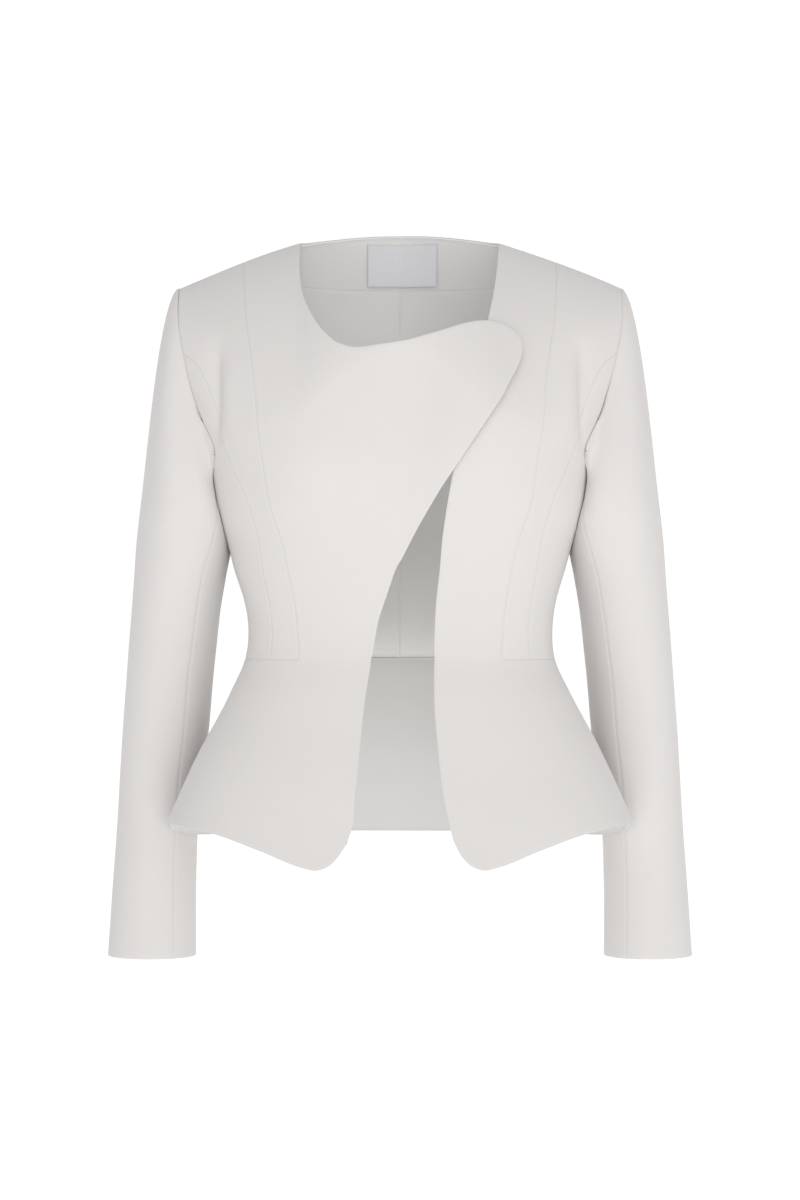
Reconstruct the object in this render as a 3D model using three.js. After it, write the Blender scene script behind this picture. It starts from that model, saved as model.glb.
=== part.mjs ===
// A fitted wrap-front jacket with a peplum, standing in its own worn shape.
// Millimetres, Z up, the front faces -Y, and the wearer's left is +X.
// The origin is the middle of the shoulder line, where the wearer carries it.
import * as THREE from 'three';

const wall = 1.6;
const liningWall = 1.0;
const labelWall = 0.6;
const seamGap = 0.3;
const edgeInset = seamGap / 2;
const degree = Math.PI / 180;

const waistLevel = -348.5;
const sideSeamAngle = 5;
const centreBackAngle = 90;

const shellCloth = { color: '#e4e0de', roughness: 0.86, metalness: 0 };
const sleeveCloth = { color: '#e3dfdd', roughness: 0.86, metalness: 0 };
const liningCloth = { color: '#dcd7d6', roughness: 0.6, metalness: 0 };
const labelCloth = { color: '#dddce1', roughness: 0.7, metalness: 0 };

// Level rings of the body. half is half the width, front and back are the depths
// each side of the origin, side is where the widest point lies, and the two
// roundness columns go from 2 (an ellipse) towards a box.
const bodyRings = [
  { z: 40, half: 238, front: 110, back: 104, side: 0, roundFront: 3.0, roundBack: 3.0 },
  { z: 0, half: 234, front: 110, back: 104, side: 0, roundFront: 3.0, roundBack: 3.0 },
  { z: -23, half: 230, front: 112, back: 105, side: 0, roundFront: 2.9, roundBack: 2.9 },
  { z: -50, half: 222, front: 114, back: 107, side: 0, roundFront: 2.75, roundBack: 2.75 },
  { z: -85, half: 208, front: 116, back: 108, side: 0, roundFront: 2.55, roundBack: 2.6 },
  { z: -122, half: 191, front: 118, back: 108, side: 0, roundFront: 2.5, roundBack: 2.45 },
  { z: -153, half: 179, front: 119, back: 106, side: 0, roundFront: 2.5, roundBack: 2.35 },
  { z: -176, half: 171.5, front: 119, back: 103, side: 0, roundFront: 2.5, roundBack: 2.3 },
  { z: -195, half: 168.3, front: 117, back: 100, side: 0, roundFront: 2.5, roundBack: 2.25 },
  { z: -215, half: 165, front: 114, back: 96, side: 0, roundFront: 2.5, roundBack: 2.2 },
  { z: -230, half: 159.5, front: 111, back: 94, side: 0, roundFront: 2.5, roundBack: 2.2 },
  { z: -245, half: 152.3, front: 108, back: 91, side: 0, roundFront: 2.5, roundBack: 2.2 },
  { z: -272, half: 144.3, front: 102, back: 86, side: 0, roundFront: 2.5, roundBack: 2.2 },
  { z: -300, half: 136.0, front: 96, back: 82, side: 0, roundFront: 2.5, roundBack: 2.2 },
  { z: -324, half: 133.1, front: 92, back: 80, side: 0, roundFront: 2.55, roundBack: 2.2 },
  { z: -348.5, half: 135.8, front: 93, back: 82, side: 0, roundFront: 2.6, roundBack: 2.2 },
  { z: -378, half: 149.3, front: 101, back: 91, side: -4, roundFront: 2.9, roundBack: 2.2 },
  { z: -427, half: 174.1, front: 116, back: 109, side: -11, roundFront: 3.2, roundBack: 2.1 },
  { z: -489, half: 202.0, front: 136, back: 133, side: -20, roundFront: 3.4, roundBack: 2.05 },
  { z: -530, half: 220.0, front: 149, back: 148, side: -24, roundFront: 3.4, roundBack: 2.0 },
];

// The shoulder line falls from the neck point to the sleeve in a slight curve.
const shoulder = { neckX: 87, neckZ: 17, tipX: 194, slope: 0.3103, bend: 0.000594 };
// Above the neck the form closes in a dome, which the neckline cuts away.
const neckDome = { slope: 0.36, rise: 32 };
// The body rounds over below the shoulder line within this depth.
const rounding = { depth: 160, power: 1.6, flat: 0.7 };
const bust = { x: 85, z: -172, wide: 50, tall: 58, rise: 9 };
// A soft crease runs down beside each armhole, in front.
const armholeCrease = { x: 162, lean: 0.06, z: -108, wide: 15, tall: 32, depth: 2.6 };

// Cut lines of the left half, x across and z up.
const princessSeam = [
  { x: 137, z: 0 },
  { x: 135, z: -35 },
  { x: 131, z: -68 },
  { x: 125, z: -111 },
  { x: 120, z: -164 },
  { x: 114.5, z: -203 },
  { x: 105.7, z: -235 },
  { x: 96.5, z: -270 },
  { x: 90.7, z: -301 },
  { x: 88, z: -329 },
  { x: 87.9, z: -348.5 },
];
const sidePanelSeam = [
  { x: 187.5, z: -84 },
  { x: 178, z: -91 },
  { x: 169, z: -106 },
  { x: 161, z: -130 },
  { x: 154.5, z: -158 },
  { x: 146, z: -180 },
  { x: 131, z: -214 },
  { x: 120.4, z: -253 },
  { x: 113.8, z: -293 },
  { x: 112.7, z: -348.5 },
];
const armholeTop = [
  { x: 194, z: -23 },
  { x: 194, z: -42 },
  { x: 192, z: -62 },
  { x: 187.5, z: -84 },
];
const armholeFront = [
  { x: 187.5, z: -84 },
  { x: 179, z: -119 },
  { x: 174, z: -135 },
  { x: 166.5, z: -152 },
  { x: 161.3, z: -164 },
  { angle: -24.9, z: -172 },
];
const armholeUnderFront = [
  { angle: -24.9, z: -172 },
  { angle: -17.5, z: -182 },
  { angle: -7, z: -188 },
  { angle: sideSeamAngle, z: -190 },
];
const armholeBack = [
  { x: 194, z: -23 },
  { x: 193, z: -42 },
  { x: 190, z: -62 },
  { x: 179, z: -108 },
  { x: 166, z: -150 },
  { angle: 24.8, z: -172 },
];
const armholeUnderBack = [
  { angle: 24.8, z: -172 },
  { angle: 18, z: -182 },
  { angle: sideSeamAngle, z: -190 },
];

// The two fronts are cut apart: the right one wraps over the left.
const rightStrapEdge = [
  { x: -87, z: 17 },
  { x: -87.2, z: -1 },
  { x: -86.4, z: -17 },
  { x: -81.8, z: -39 },
  { x: -75.7, z: -52.6 },
  { x: -65.6, z: -67.7 },
  { x: -54.3, z: -78.2 },
];
const rightNeckEdge = [
  { x: -54.3, z: -78.2 },
  { x: -41.7, z: -82.4 },
  { x: -15.2, z: -80.2 },
  { x: 26.5, z: -70.9 },
  { x: 60.2, z: -61.4 },
  { x: 74.2, z: -60.2 },
  { x: 85.5, z: -62.2 },
  { x: 94.1, z: -67.3 },
  { x: 100.8, z: -75.2 },
  { x: 102.8, z: -86 },
];
const rightWrapEdge = [
  { x: 102.8, z: -86 },
  { x: 100, z: -97.3 },
  { x: 93.4, z: -110.6 },
  { x: 82.1, z: -130.7 },
  { x: 56.9, z: -169.7 },
  { x: 31.7, z: -207.2 },
  { x: 8.1, z: -249.5 },
  { x: -10.7, z: -292 },
  { x: -17.9, z: -313.4 },
  { x: -24.8, z: -348.5 },
];
const rightPeplumEdge = [
  { x: -24.8, z: -348.5 },
  { x: -30.8, z: -391.4 },
  { x: -37.7, z: -461.2 },
  { x: -40.3, z: -489 },
  { x: -44.6, z: -502.1 },
];
const leftFrontEdge = [
  { x: 87, z: 17 },
  { x: 85.9, z: 0 },
  { x: 83.9, z: -15.6 },
  { x: 77.9, z: -46.4 },
  { x: 66.1, z: -93.9 },
  { x: 50.7, z: -162.3 },
  { x: 40, z: -216.6 },
  { x: 33.2, z: -277.8 },
  { x: 29.5, z: -348.5 },
];
const leftPeplumEdge = [
  { x: 29.5, z: -348.5 },
  { x: 28.9, z: -375 },
  { x: 32.2, z: -424.4 },
  { x: 39.7, z: -479.5 },
  { x: 44.9, z: -499.7 },
];
const hemCorner = [
  { x: 51.8, z: -512.5 },
  { x: 60, z: -520.6 },
  { x: 72, z: -524 },
];
const frontHem = [
  { x: 81.3, z: -522 },
  { x: 119.5, z: -507.8 },
  { x: 154.3, z: -496 },
  { x: 182.7, z: -490.4 },
  { angle: -10, z: -488.3 },
  { angle: sideSeamAngle, z: -488.6 },
];
const backHem = { side: -488.6, middle: -508.5, turn: 8 };
const backNeck = { rise: 12 };
const facing = { half: 100, foot: -17 };

// Level sections of the left sleeve below the underarm: the outer and inner edges,
// where its middle lies front to back, and half its depth.
const sleeveRings = [
  { z: -200, outer: 226.5, inner: 157, middle: 3, deep: 66, roundInner: 3.8 },
  { z: -215, outer: 228.5, inner: 153, middle: 6, deep: 68, roundInner: 3.7 },
  { z: -230, outer: 230.5, inner: 149, middle: 9, deep: 68, roundInner: 3.4 },
  { z: -245, outer: 232.4, inner: 148.5, middle: 12, deep: 65, roundInner: 3.0 },
  { z: -276, outer: 235.1, inner: 154, middle: 19, deep: 62, roundInner: 2.5 },
  { z: -306, outer: 238, inner: 159.4, middle: 27, deep: 57, roundInner: 2.4 },
  { z: -335, outer: 241, inner: 163, middle: 35, deep: 55, roundInner: 2.4 },
  { z: -364, outer: 243.6, inner: 166.4, middle: 42, deep: 53, roundInner: 2.3 },
  { z: -418, outer: 248.7, inner: 171.9, middle: 57, deep: 50, roundInner: 2.3 },
  { z: -457, outer: 252, inner: 177.5, middle: 69, deep: 48, roundInner: 2.2 },
  { z: -496, outer: 255, inner: 182, middle: 79, deep: 46, roundInner: 2.2 },
  { z: -560, outer: 260.3, inner: 184.7, middle: 87, deep: 43.5, roundInner: 2.1 },
  { z: -619, outer: 264.7, inner: 185, middle: 92, deep: 42.5, roundInner: 2.1 },
];
const sleeveRound = { outer: 2.0, back: 2.15 };
// Turn of the sleeve's long seams from its outer side, as they come down.
const sleeveSeamTurn = [
  { z: -200, turn: 146 },
  { z: -245, turn: 124 },
  { z: -306, turn: 119 },
  { z: -619, turn: 122 },
];
const sleeveHead = { rows: 7, crowd: 0.6, puff: 0.27, fall: 0.8 };
// Angles at which the sleeve leaves the body's face. Low down it falls straight.
const sleeveLeave = { under: 92, over: 12, power: 0.8, fallFrom: 0.35, fallTo: 0.75 };
// Below the armhole the sleeve lies along the body, this far from it.
const sleeveRest = { clear: 2.2, soften: 1.2, share: 0.2 };
const restReach = { topZ: -160, topFade: 12, endZ: -330, endFade: 40 };

// How many steps each cut line is divided into. Neighbours share them.
const steps = {
  strap: 6,
  princess: 16,
  armholeTop: 4,
  armholeFront: 4,
  armholeBack: 8,
  underarm: 3,
  sidePanelStrip: 2,
  side: 8,
  neckHalf: 4,
  shoulderInner: 4,
  shoulderOuter: 4,
  facing: 3,
  peplum: 7,
  wing: 9,
};

// Smooth reading of a table: values at knots, with slopes taken from the neighbours.
function readSmooth(knots, values, at) {
  const last = knots.length - 1;
  const direction = Math.sign(knots[last] - knots[0]);
  let row = 0;
  while (row < last - 1 && (at - knots[row + 1]) * direction > 0) {
    row += 1;
  }
  const gradient = (k) => (values[k + 1] - values[k]) / (knots[k + 1] - knots[k]);
  const slope = (k) => {
    if (k === 0) {
      return gradient(0);
    }
    if (k === last) {
      return gradient(last - 1);
    }
    const before = Math.abs(knots[k] - knots[k - 1]);
    const after = Math.abs(knots[k + 1] - knots[k]);
    return (gradient(k - 1) * after + gradient(k) * before) / (before + after);
  };
  const span = knots[row + 1] - knots[row];
  const t = (at - knots[row]) / span;
  const square = t * t;
  const cube = square * t;
  return (
    (2 * cube - 3 * square + 1) * values[row] +
    (cube - 2 * square + t) * span * slope(row) +
    (3 * square - 2 * cube) * values[row + 1] +
    (cube - square) * span * slope(row + 1)
  );
}

function readTable(rows, column, z) {
  const knots = rows.map((row) => row.z);
  const values = rows.map((row) => row[column]);
  return readSmooth(knots, values, z);
}

const easeStep = (t) => {
  const held = Math.min(Math.max(t, 0), 1);
  return held * held * (3 - 2 * held);
};

// Height of the shoulder line, and of the dome over the neck between the shoulders.
function shoulderHeight(x) {
  const out = Math.abs(x) - shoulder.neckX;
  if (out >= 0) {
    return shoulder.neckZ - shoulder.slope * out - shoulder.bend * out * out;
  }
  const share = Math.abs(x) / shoulder.neckX;
  return shoulder.neckZ - neckDome.slope * out + neckDome.rise * (1 - share * share);
}

function closeIn(drop) {
  if (drop <= 0) {
    return 0;
  }
  const share = Math.min(drop / rounding.depth, 1);
  return (1 - (1 - share) ** rounding.power) ** rounding.flat;
}

function bellCurve(distance, width) {
  return Math.exp(-((distance / width) ** 2));
}

function frontRelief(x, z) {
  const swell = bust.rise * bellCurve(Math.abs(x) - bust.x, bust.wide) * bellCurve(z - bust.z, bust.tall);
  const creaseX = armholeCrease.x - armholeCrease.lean * (z - armholeCrease.z);
  const across = bellCurve(Math.abs(x) - creaseX, armholeCrease.wide);
  const along = bellCurve(z - armholeCrease.z, armholeCrease.tall);
  return swell - armholeCrease.depth * across * along;
}

// A point of the body's outer face. Angle 0 is the left side, -90 the centre
// front, -180 the right side and 90 the centre back.
function bodyPoint(angle, z) {
  const turn = angle * degree;
  const front = Math.sin(turn) < 0;
  const roundness = readTable(bodyRings, front ? 'roundFront' : 'roundBack', z);
  const depth = readTable(bodyRings, front ? 'front' : 'back', z);
  const half = readTable(bodyRings, 'half', z);
  const side = readTable(bodyRings, 'side', z);
  const across = Math.abs(Math.cos(turn)) ** (2 / roundness);
  const along = Math.abs(Math.sin(turn)) ** (2 / roundness);
  const x = half * across * Math.sign(Math.cos(turn));
  const rounded = closeIn(shoulderHeight(x) - z);
  let y = side * rounded;
  if (front) {
    y -= ((depth + side) * rounded + frontRelief(x, z)) * along;
  } else {
    y += (depth - side) * rounded * along;
  }
  return new THREE.Vector3(x, y, z);
}

// Outward direction of the body's face. On the shoulder line it points straight up.
function bodyOutward(angle, z) {
  const turnStep = 0.4;
  const drop = shoulderHeight(bodyPoint(angle, z).x) - z;
  const reach = Math.min(0.8, Math.max(drop * 0.4, 0.05));
  const level = z - (drop < reach ? reach : 0);
  const across = bodyPoint(angle + turnStep, level).sub(bodyPoint(angle - turnStep, level));
  const up = bodyPoint(angle, level + reach).sub(bodyPoint(angle, level - reach));
  const outward = across.cross(up).normalize();
  const place = bodyPoint(angle, z);
  const top = new THREE.Vector3(Math.sign(place.x) * 0.37, 0, 1).normalize();
  const share = easeStep(drop / 9);
  return top.multiplyScalar(1 - share).add(outward.multiplyScalar(share)).normalize();
}

function angleAt(x, z, face) {
  const half = readTable(bodyRings, 'half', z);
  const roundness = readTable(bodyRings, face < 0 ? 'roundFront' : 'roundBack', z);
  const share = Math.min(Math.abs(x) / half, 1) ** (roundness / 2);
  const angle = (Math.acos(share) / degree) * face;
  return x >= 0 ? angle : -180 - angle;
}

function onBody(rows, face) {
  return rows.map((row) => ({
    angle: row.angle === undefined ? angleAt(row.x, row.z, face) : row.angle,
    z: row.z,
  }));
}

const mirrored = (points) => points.map((point) => ({ angle: -180 - point.angle, z: point.z }));
const turned = (points) => [...points].reverse();
const joined = (first, ...rest) => rest.reduce((line, next) => [...line, ...next.slice(1)], first);

function evenStops(count, power = 1) {
  return Array.from({ length: count + 1 }, (_, i) => (i / count) ** power);
}

// Divides a line that runs over the body at shares of its length.
function divide(points, stops) {
  const lengths = [0];
  for (let i = 1; i < points.length; i += 1) {
    const here = bodyPoint(points[i].angle, points[i].z);
    const before = bodyPoint(points[i - 1].angle, points[i - 1].z);
    lengths.push(lengths[i - 1] + Math.max(here.distanceTo(before), 0.01));
  }
  const total = lengths[lengths.length - 1];
  const angles = points.map((point) => point.angle);
  const levels = points.map((point) => point.z);
  return stops.map((stop) => ({
    angle: readSmooth(lengths, angles, stop * total),
    z: readSmooth(lengths, levels, stop * total),
  }));
}

function straight(from, to, count) {
  return evenStops(count).map((share) => ({
    angle: from.angle + (to.angle - from.angle) * share,
    z: from.z + (to.z - from.z) * share,
  }));
}

function shoulderLine(from, to, count, face) {
  return evenStops(count).map((share) => {
    const x = from + (to - from) * share;
    const z = shoulderHeight(x);
    return { angle: angleAt(x, z, face), z };
  });
}

// Fills four meeting lines with a net of points. Rows run top to bottom.
function fillNet(top, bottom, left, right) {
  const columns = top.length - 1;
  const rows = left.length - 1;
  const blend = (key, u, v, c, r) => {
    const level = (1 - v) * top[c][key] + v * bottom[c][key];
    const upright = (1 - u) * left[r][key] + u * right[r][key];
    const corners =
      (1 - v) * ((1 - u) * top[0][key] + u * top[columns][key]) +
      v * ((1 - u) * bottom[0][key] + u * bottom[columns][key]);
    return level + upright - corners;
  };
  return left.map((_, r) =>
    top.map((__, c) => ({
      angle: blend('angle', c / columns, r / rows, c, r),
      z: blend('z', c / columns, r / rows, c, r),
    })),
  );
}

// Joins nets into one sheet of points, directions and four-sided faces.
function sheetOnBody(nets, lift = () => 0) {
  const places = new Map();
  const sheet = { points: [], outward: [], faces: [] };
  const indexOf = ({ angle, z }) => {
    const key = `${angle.toFixed(3)} ${z.toFixed(3)}`;
    if (!places.has(key)) {
      places.set(key, sheet.points.length);
      const direction = bodyOutward(angle, z);
      const point = bodyPoint(angle, z);
      sheet.points.push(point.addScaledVector(direction, lift(point)));
      sheet.outward.push(direction);
    }
    return places.get(key);
  };
  for (const net of nets) {
    for (let r = 0; r < net.length - 1; r += 1) {
      for (let c = 0; c < net[r].length - 1; c += 1) {
        const corners = [net[r][c], net[r + 1][c], net[r + 1][c + 1], net[r][c + 1]];
        sheet.faces.push([...new Set(corners.map(indexOf))]);
      }
    }
  }
  return facingOut(sheet);
}

function faceDirection(sheet, face) {
  const corners = face.map((i) => sheet.points[i]);
  const first = corners[2].clone().sub(corners[0]);
  const second = corners[corners.length - 1].clone().sub(corners[1]);
  return face.length === 3 ? first.cross(second).negate() : first.cross(second);
}

// Turns a face over and keeps its first corner, so that it splits the same way.
const turnFace = ([first, ...rest]) => [first, ...rest.reverse()];

function facingOut(sheet) {
  let agree = 0;
  for (const face of sheet.faces) {
    agree += faceDirection(sheet, face).dot(sheet.outward[face[0]]);
  }
  if (agree < 0) {
    sheet.faces = sheet.faces.map(turnFace);
  }
  return sheet;
}

function freeEdges(faces) {
  const edges = new Map();
  for (const face of faces) {
    face.forEach((from, i) => {
      const to = face[(i + 1) % face.length];
      if (edges.has(`${to} ${from}`)) {
        edges.delete(`${to} ${from}`);
      } else {
        edges.set(`${from} ${to}`, [from, to]);
      }
    });
  }
  return [...edges.values()];
}

// Draws the free edges in by the inset, within the sheet.
function insetPoints(sheet, edges, inset) {
  const inward = new Map();
  for (const [from, to] of edges) {
    const along = sheet.points[to].clone().sub(sheet.points[from]);
    for (const end of [from, to]) {
      const direction = sheet.outward[end].clone().cross(along).normalize();
      inward.set(end, [...(inward.get(end) ?? []), direction]);
    }
  }
  return sheet.points.map((point, i) => {
    const directions = inward.get(i);
    if (!directions) {
      return point.clone();
    }
    const [first, second] = directions;
    const share = inset / Math.max(1 + first.dot(second), 0.35);
    return point.clone().addScaledVector(first, share).addScaledVector(second, share);
  });
}

// Gives a sheet its thickness: the outer face lies depth below the sheet's points.
function thicken(name, sheet, cloth, thickness, depth = 0) {
  const edges = freeEdges(sheet.faces);
  const points = insetPoints(sheet, edges, edgeInset);
  const outer = points.map((point, i) => point.clone().addScaledVector(sheet.outward[i], -depth));
  const inner = points.map((point, i) =>
    point.clone().addScaledVector(sheet.outward[i], -depth - thickness),
  );
  const used = [...new Set(sheet.faces.flat())];
  const place = new Map(used.map((index, i) => [index, i]));
  const positions = [];
  for (const set of [outer, inner]) {
    for (const index of used) {
      positions.push(...set[index].toArray());
    }
  }
  const under = used.length;
  const triangles = [];
  const addFace = (first, ...rest) => {
    for (let i = 0; i < rest.length - 1; i += 1) {
      triangles.push(first, rest[i], rest[i + 1]);
    }
  };
  for (const face of sheet.faces) {
    const corners = face.map((i) => place.get(i));
    addFace(...corners);
    addFace(...turnFace(corners.map((i) => i + under)));
  }
  // Both sides of a seam split their narrow rim faces along the same corner.
  for (const [from, to] of edges) {
    const a = place.get(from);
    const b = place.get(to);
    if (sheet.points[from].z > sheet.points[to].z) {
      addFace(b, a, a + under, b + under);
    } else {
      addFace(a, a + under, b + under, b);
    }
  }
  const geometry = new THREE.BufferGeometry();
  geometry.setAttribute('position', new THREE.Float32BufferAttribute(positions, 3));
  geometry.setIndex(triangles);
  geometry.computeVertexNormals();
  const mesh = new THREE.Mesh(geometry, new THREE.MeshStandardMaterial(cloth));
  mesh.name = name;
  return mesh;
}

function mirrorSheet(sheet) {
  const flip = (vector) => new THREE.Vector3(-vector.x, vector.y, vector.z);
  return {
    points: sheet.points.map(flip),
    outward: sheet.outward.map(flip),
    faces: sheet.faces.map(turnFace),
  };
}

// The cut lines of the left half, divided once so that both sides of a seam agree.
function drawSeams() {
  const princess = divide(onBody(princessSeam, -1), evenStops(steps.princess, 1.5));
  const sidePanel = divide(onBody(sidePanelSeam, -1), evenStops(steps.armholeFront + steps.side));
  const holeTop = divide(onBody(armholeTop, -1), [0, 0.1, 0.29, 0.6, 1]);
  const holeFront = divide(onBody(armholeFront, -1), evenStops(steps.armholeFront));
  const holeBack = divide(onBody(armholeBack, 1), evenStops(steps.armholeBack, 1.2));
  const underFront = divide(onBody(armholeUnderFront, -1), evenStops(steps.underarm));
  const underBack = divide(onBody(armholeUnderBack, 1), evenStops(steps.underarm));
  const tip = shoulderHeight(shoulder.tipX);
  const seamTop = shoulderHeight(princessSeam[0].x);
  princess[0] = { angle: angleAt(princessSeam[0].x, seamTop, -1), z: seamTop };
  holeTop[0] = { angle: angleAt(shoulder.tipX, tip, -1), z: tip };
  holeBack[0] = { angle: angleAt(shoulder.tipX, tip, 1), z: tip };
  sidePanel[0] = holeTop[steps.armholeTop];
  holeFront[0] = sidePanel[0];
  const underarm = underFront[steps.underarm];
  const sideWaist = { angle: sideSeamAngle, z: waistLevel };
  const sideHem = { angle: sideSeamAngle, z: backHem.side };
  const princessFoot = princess[steps.princess];
  const sidePanelFoot = sidePanel[sidePanel.length - 1];
  return {
    princess,
    sidePanel,
    holeTop,
    holeFront,
    holeBack,
    underFront,
    underBack,
    side: straight(underarm, sideWaist, steps.side),
    peplumSide: straight(sideWaist, sideHem, steps.peplum),
    waistOuter: straight(sidePanelFoot, sideWaist, steps.sidePanelStrip + steps.underarm),
    waistInner: straight(princessFoot, sidePanelFoot, steps.shoulderOuter),
  };
}

function sideFrontNet(seams) {
  const princessX = princessSeam[0].x;
  const top = shoulderLine(princessX, shoulder.tipX, steps.shoulderOuter, -1);
  const right = joined(seams.holeTop, seams.sidePanel);
  return fillNet(top, seams.waistInner, seams.princess, right);
}

// A tapering strip beside the armhole, and the panel below the underarm.
function sidePanelNets(seams) {
  const stripFoot = straight(
    seams.sidePanel[steps.armholeFront],
    seams.holeFront[steps.armholeFront],
    steps.sidePanelStrip,
  );
  const tip = stripFoot.map(() => seams.sidePanel[0]);
  const stripSide = seams.sidePanel.slice(0, steps.armholeFront + 1);
  const strip = fillNet(tip, stripFoot, stripSide, seams.holeFront);
  const top = joined(stripFoot, seams.underFront);
  const low = fillNet(top, seams.waistOuter, seams.sidePanel.slice(steps.armholeFront), seams.side);
  return [strip, low];
}

function backNets(seams) {
  const neck = evenStops(steps.neckHalf).map((share) => {
    const x = shoulder.neckX * share;
    const z = shoulder.neckZ + backNeck.rise * (1 - share * share);
    return { angle: angleAt(x, z, 1), z };
  });
  neck[0].angle = centreBackAngle;
  const shoulderInner = shoulderLine(shoulder.neckX, princessSeam[0].x, steps.shoulderInner, 1);
  const shoulderOuter = shoulderLine(princessSeam[0].x, shoulder.tipX, steps.shoulderOuter, 1);
  const facingX = shoulder.neckX + (princessSeam[0].x - shoulder.neckX) / steps.shoulderInner;
  const top = joined(neck, shoulderInner, shoulderOuter);
  const split = steps.neckHalf + 1;
  const sideWaist = { angle: sideSeamAngle, z: waistLevel };
  const middleWaist = { angle: centreBackAngle, z: waistLevel };
  const waist = straight(middleWaist, sideWaist, top.length - 1 + steps.underarm);
  const lowRows = steps.armholeBack + steps.side - steps.facing;
  const chestRows = steps.armholeBack - steps.facing;
  const footMiddle = { angle: centreBackAngle, z: facing.foot };
  const footCorner = { angle: angleAt(facing.half, facing.foot, 1), z: facing.foot };
  const foot = onBody(
    evenStops(split).map((share) => ({ x: facing.half * share, z: facing.foot })),
    1,
  );
  foot[0].angle = centreBackAngle;
  const facingSide = divide(
    [{ angle: angleAt(facingX, shoulderHeight(facingX), 1), z: shoulderHeight(facingX) }, footCorner],
    evenStops(steps.facing),
  );
  const middleTop = straight(neck[0], footMiddle, steps.facing);
  const middleLow = straight(footMiddle, middleWaist, lowRows);
  const column = straight(footCorner, waist[split], lowRows);
  const chestSide = joined(facingSide, column.slice(0, chestRows + 1));
  const chestFoot = straight(column[chestRows], seams.underBack[0], top.length - 1 - split);
  const underTop = joined(chestFoot, seams.underBack);
  return {
    facing: fillNet(top.slice(0, split + 1), foot, middleTop, facingSide),
    low: fillNet(foot, waist.slice(0, split + 1), middleLow, column),
    chest: fillNet(top.slice(split), chestFoot, chestSide, seams.holeBack),
    side: fillNet(underTop, waist.slice(split), column.slice(chestRows), seams.side),
    waist,
  };
}

function backPeplumNet(waist) {
  const hem = waist.map((point, i) => {
    const share = i / (waist.length - 1);
    return { angle: point.angle, z: backHem.middle + (backHem.side - backHem.middle) * share ** backHem.turn };
  });
  const middle = straight(waist[0], hem[0], steps.peplum);
  const side = straight(waist[waist.length - 1], hem[hem.length - 1], steps.peplum);
  return fillNet(waist, hem, middle, side);
}

function leftFrontNets(seams) {
  const top = shoulderLine(shoulder.neckX, princessSeam[0].x, steps.shoulderInner, -1);
  const edge = divide(onBody(leftFrontEdge, -1), evenStops(steps.princess, 1.3));
  edge[0] = top[0];
  const waist = straight(edge[steps.princess], seams.princess[steps.princess], steps.shoulderInner);
  const body = fillNet(top, waist, edge, seams.princess);
  const fullWaist = joined(waist, seams.waistInner, seams.waistOuter);
  const peplumEdge = divide(onBody(leftPeplumEdge, -1), evenStops(steps.peplum));
  const hemLine = onBody([leftPeplumEdge[leftPeplumEdge.length - 1], ...hemCorner, ...frontHem], -1);
  const hem = divide(hemLine, evenStops(fullWaist.length - 1, 1.5));
  return [body, fillNet(fullWaist, hem, peplumEdge, seams.peplumSide)];
}

function rightFrontNets(seams) {
  const princess = mirrored(seams.princess);
  const top = mirrored(shoulderLine(shoulder.neckX, princessSeam[0].x, steps.shoulderInner, -1));
  const strapEdge = divide(onBody(rightStrapEdge, -1), evenStops(steps.strap, 1.3));
  strapEdge[0] = top[0];
  const strapFoot = straight(strapEdge[steps.strap], princess[steps.strap], steps.shoulderInner);
  const strap = fillNet(top, strapFoot, strapEdge, princess.slice(0, steps.strap + 1));
  const neck = divide(onBody(rightNeckEdge, -1), turned(evenStops(steps.wing, 1.5).map((s) => 1 - s)));
  const wrapRows = steps.princess - steps.strap;
  const wrapEdge = divide(onBody(rightWrapEdge, -1), evenStops(wrapRows, 1.25));
  const mainTop = joined(turned(neck), strapFoot);
  const waist = straight(wrapEdge[wrapRows], princess[steps.princess], mainTop.length - 1);
  const main = fillNet(mainTop, waist, wrapEdge, princess.slice(steps.strap));
  const fullWaist = joined(waist, mirrored(seams.waistInner), mirrored(seams.waistOuter));
  const peplumEdge = divide(onBody(rightPeplumEdge, -1), evenStops(steps.peplum));
  const flip = (rows) => rows.map((row) => ({ ...row, x: row.x === undefined ? undefined : -row.x }));
  const hemRows = [{ x: 44.6, z: -502.1 }, ...hemCorner, ...frontHem];
  const hemLine = mirrored(onBody(hemRows, -1));
  hemLine[0] = onBody(flip([hemRows[0]]), -1)[0];
  const hem = divide(hemLine, evenStops(fullWaist.length - 1, 1.4));
  return [strap, main, fillNet(fullWaist, hem, peplumEdge, mirrored(seams.peplumSide))];
}

// The wrap rises off the left front before it crosses that front's edge.
const wrapLift = { start: 42, first: 3.5, second: 5.0, reach: 60 };
function liftOverLeft(point) {
  if (point.z < waistLevel || point.z > 0) {
    return 0;
  }
  const edge = readTable(leftFrontEdge, 'x', point.z);
  const first = easeStep((point.x - edge + wrapLift.start) / wrapLift.start);
  const second = easeStep((point.x - edge) / wrapLift.reach);
  return wrapLift.first * first + wrapLift.second * second;
}

function sleeveRingPoint(z, turn) {
  const outer = readTable(sleeveRings, 'outer', z);
  const inner = readTable(sleeveRings, 'inner', z);
  const deep = readTable(sleeveRings, 'deep', z);
  const middle = readTable(sleeveRings, 'middle', z);
  const across = Math.cos(turn * degree);
  const along = Math.sin(turn * degree);
  const frontRound = across < 0 ? readTable(sleeveRings, 'roundInner', z) : sleeveRound.outer;
  const power = 2 / (along > 0 ? frontRound : sleeveRound.back);
  const x = (outer + inner) / 2 + ((outer - inner) / 2) * Math.sign(across) * Math.abs(across) ** power;
  const y = middle - deep * Math.sign(along) * Math.abs(along) ** power;
  return new THREE.Vector3(x, y, z);
}

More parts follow.
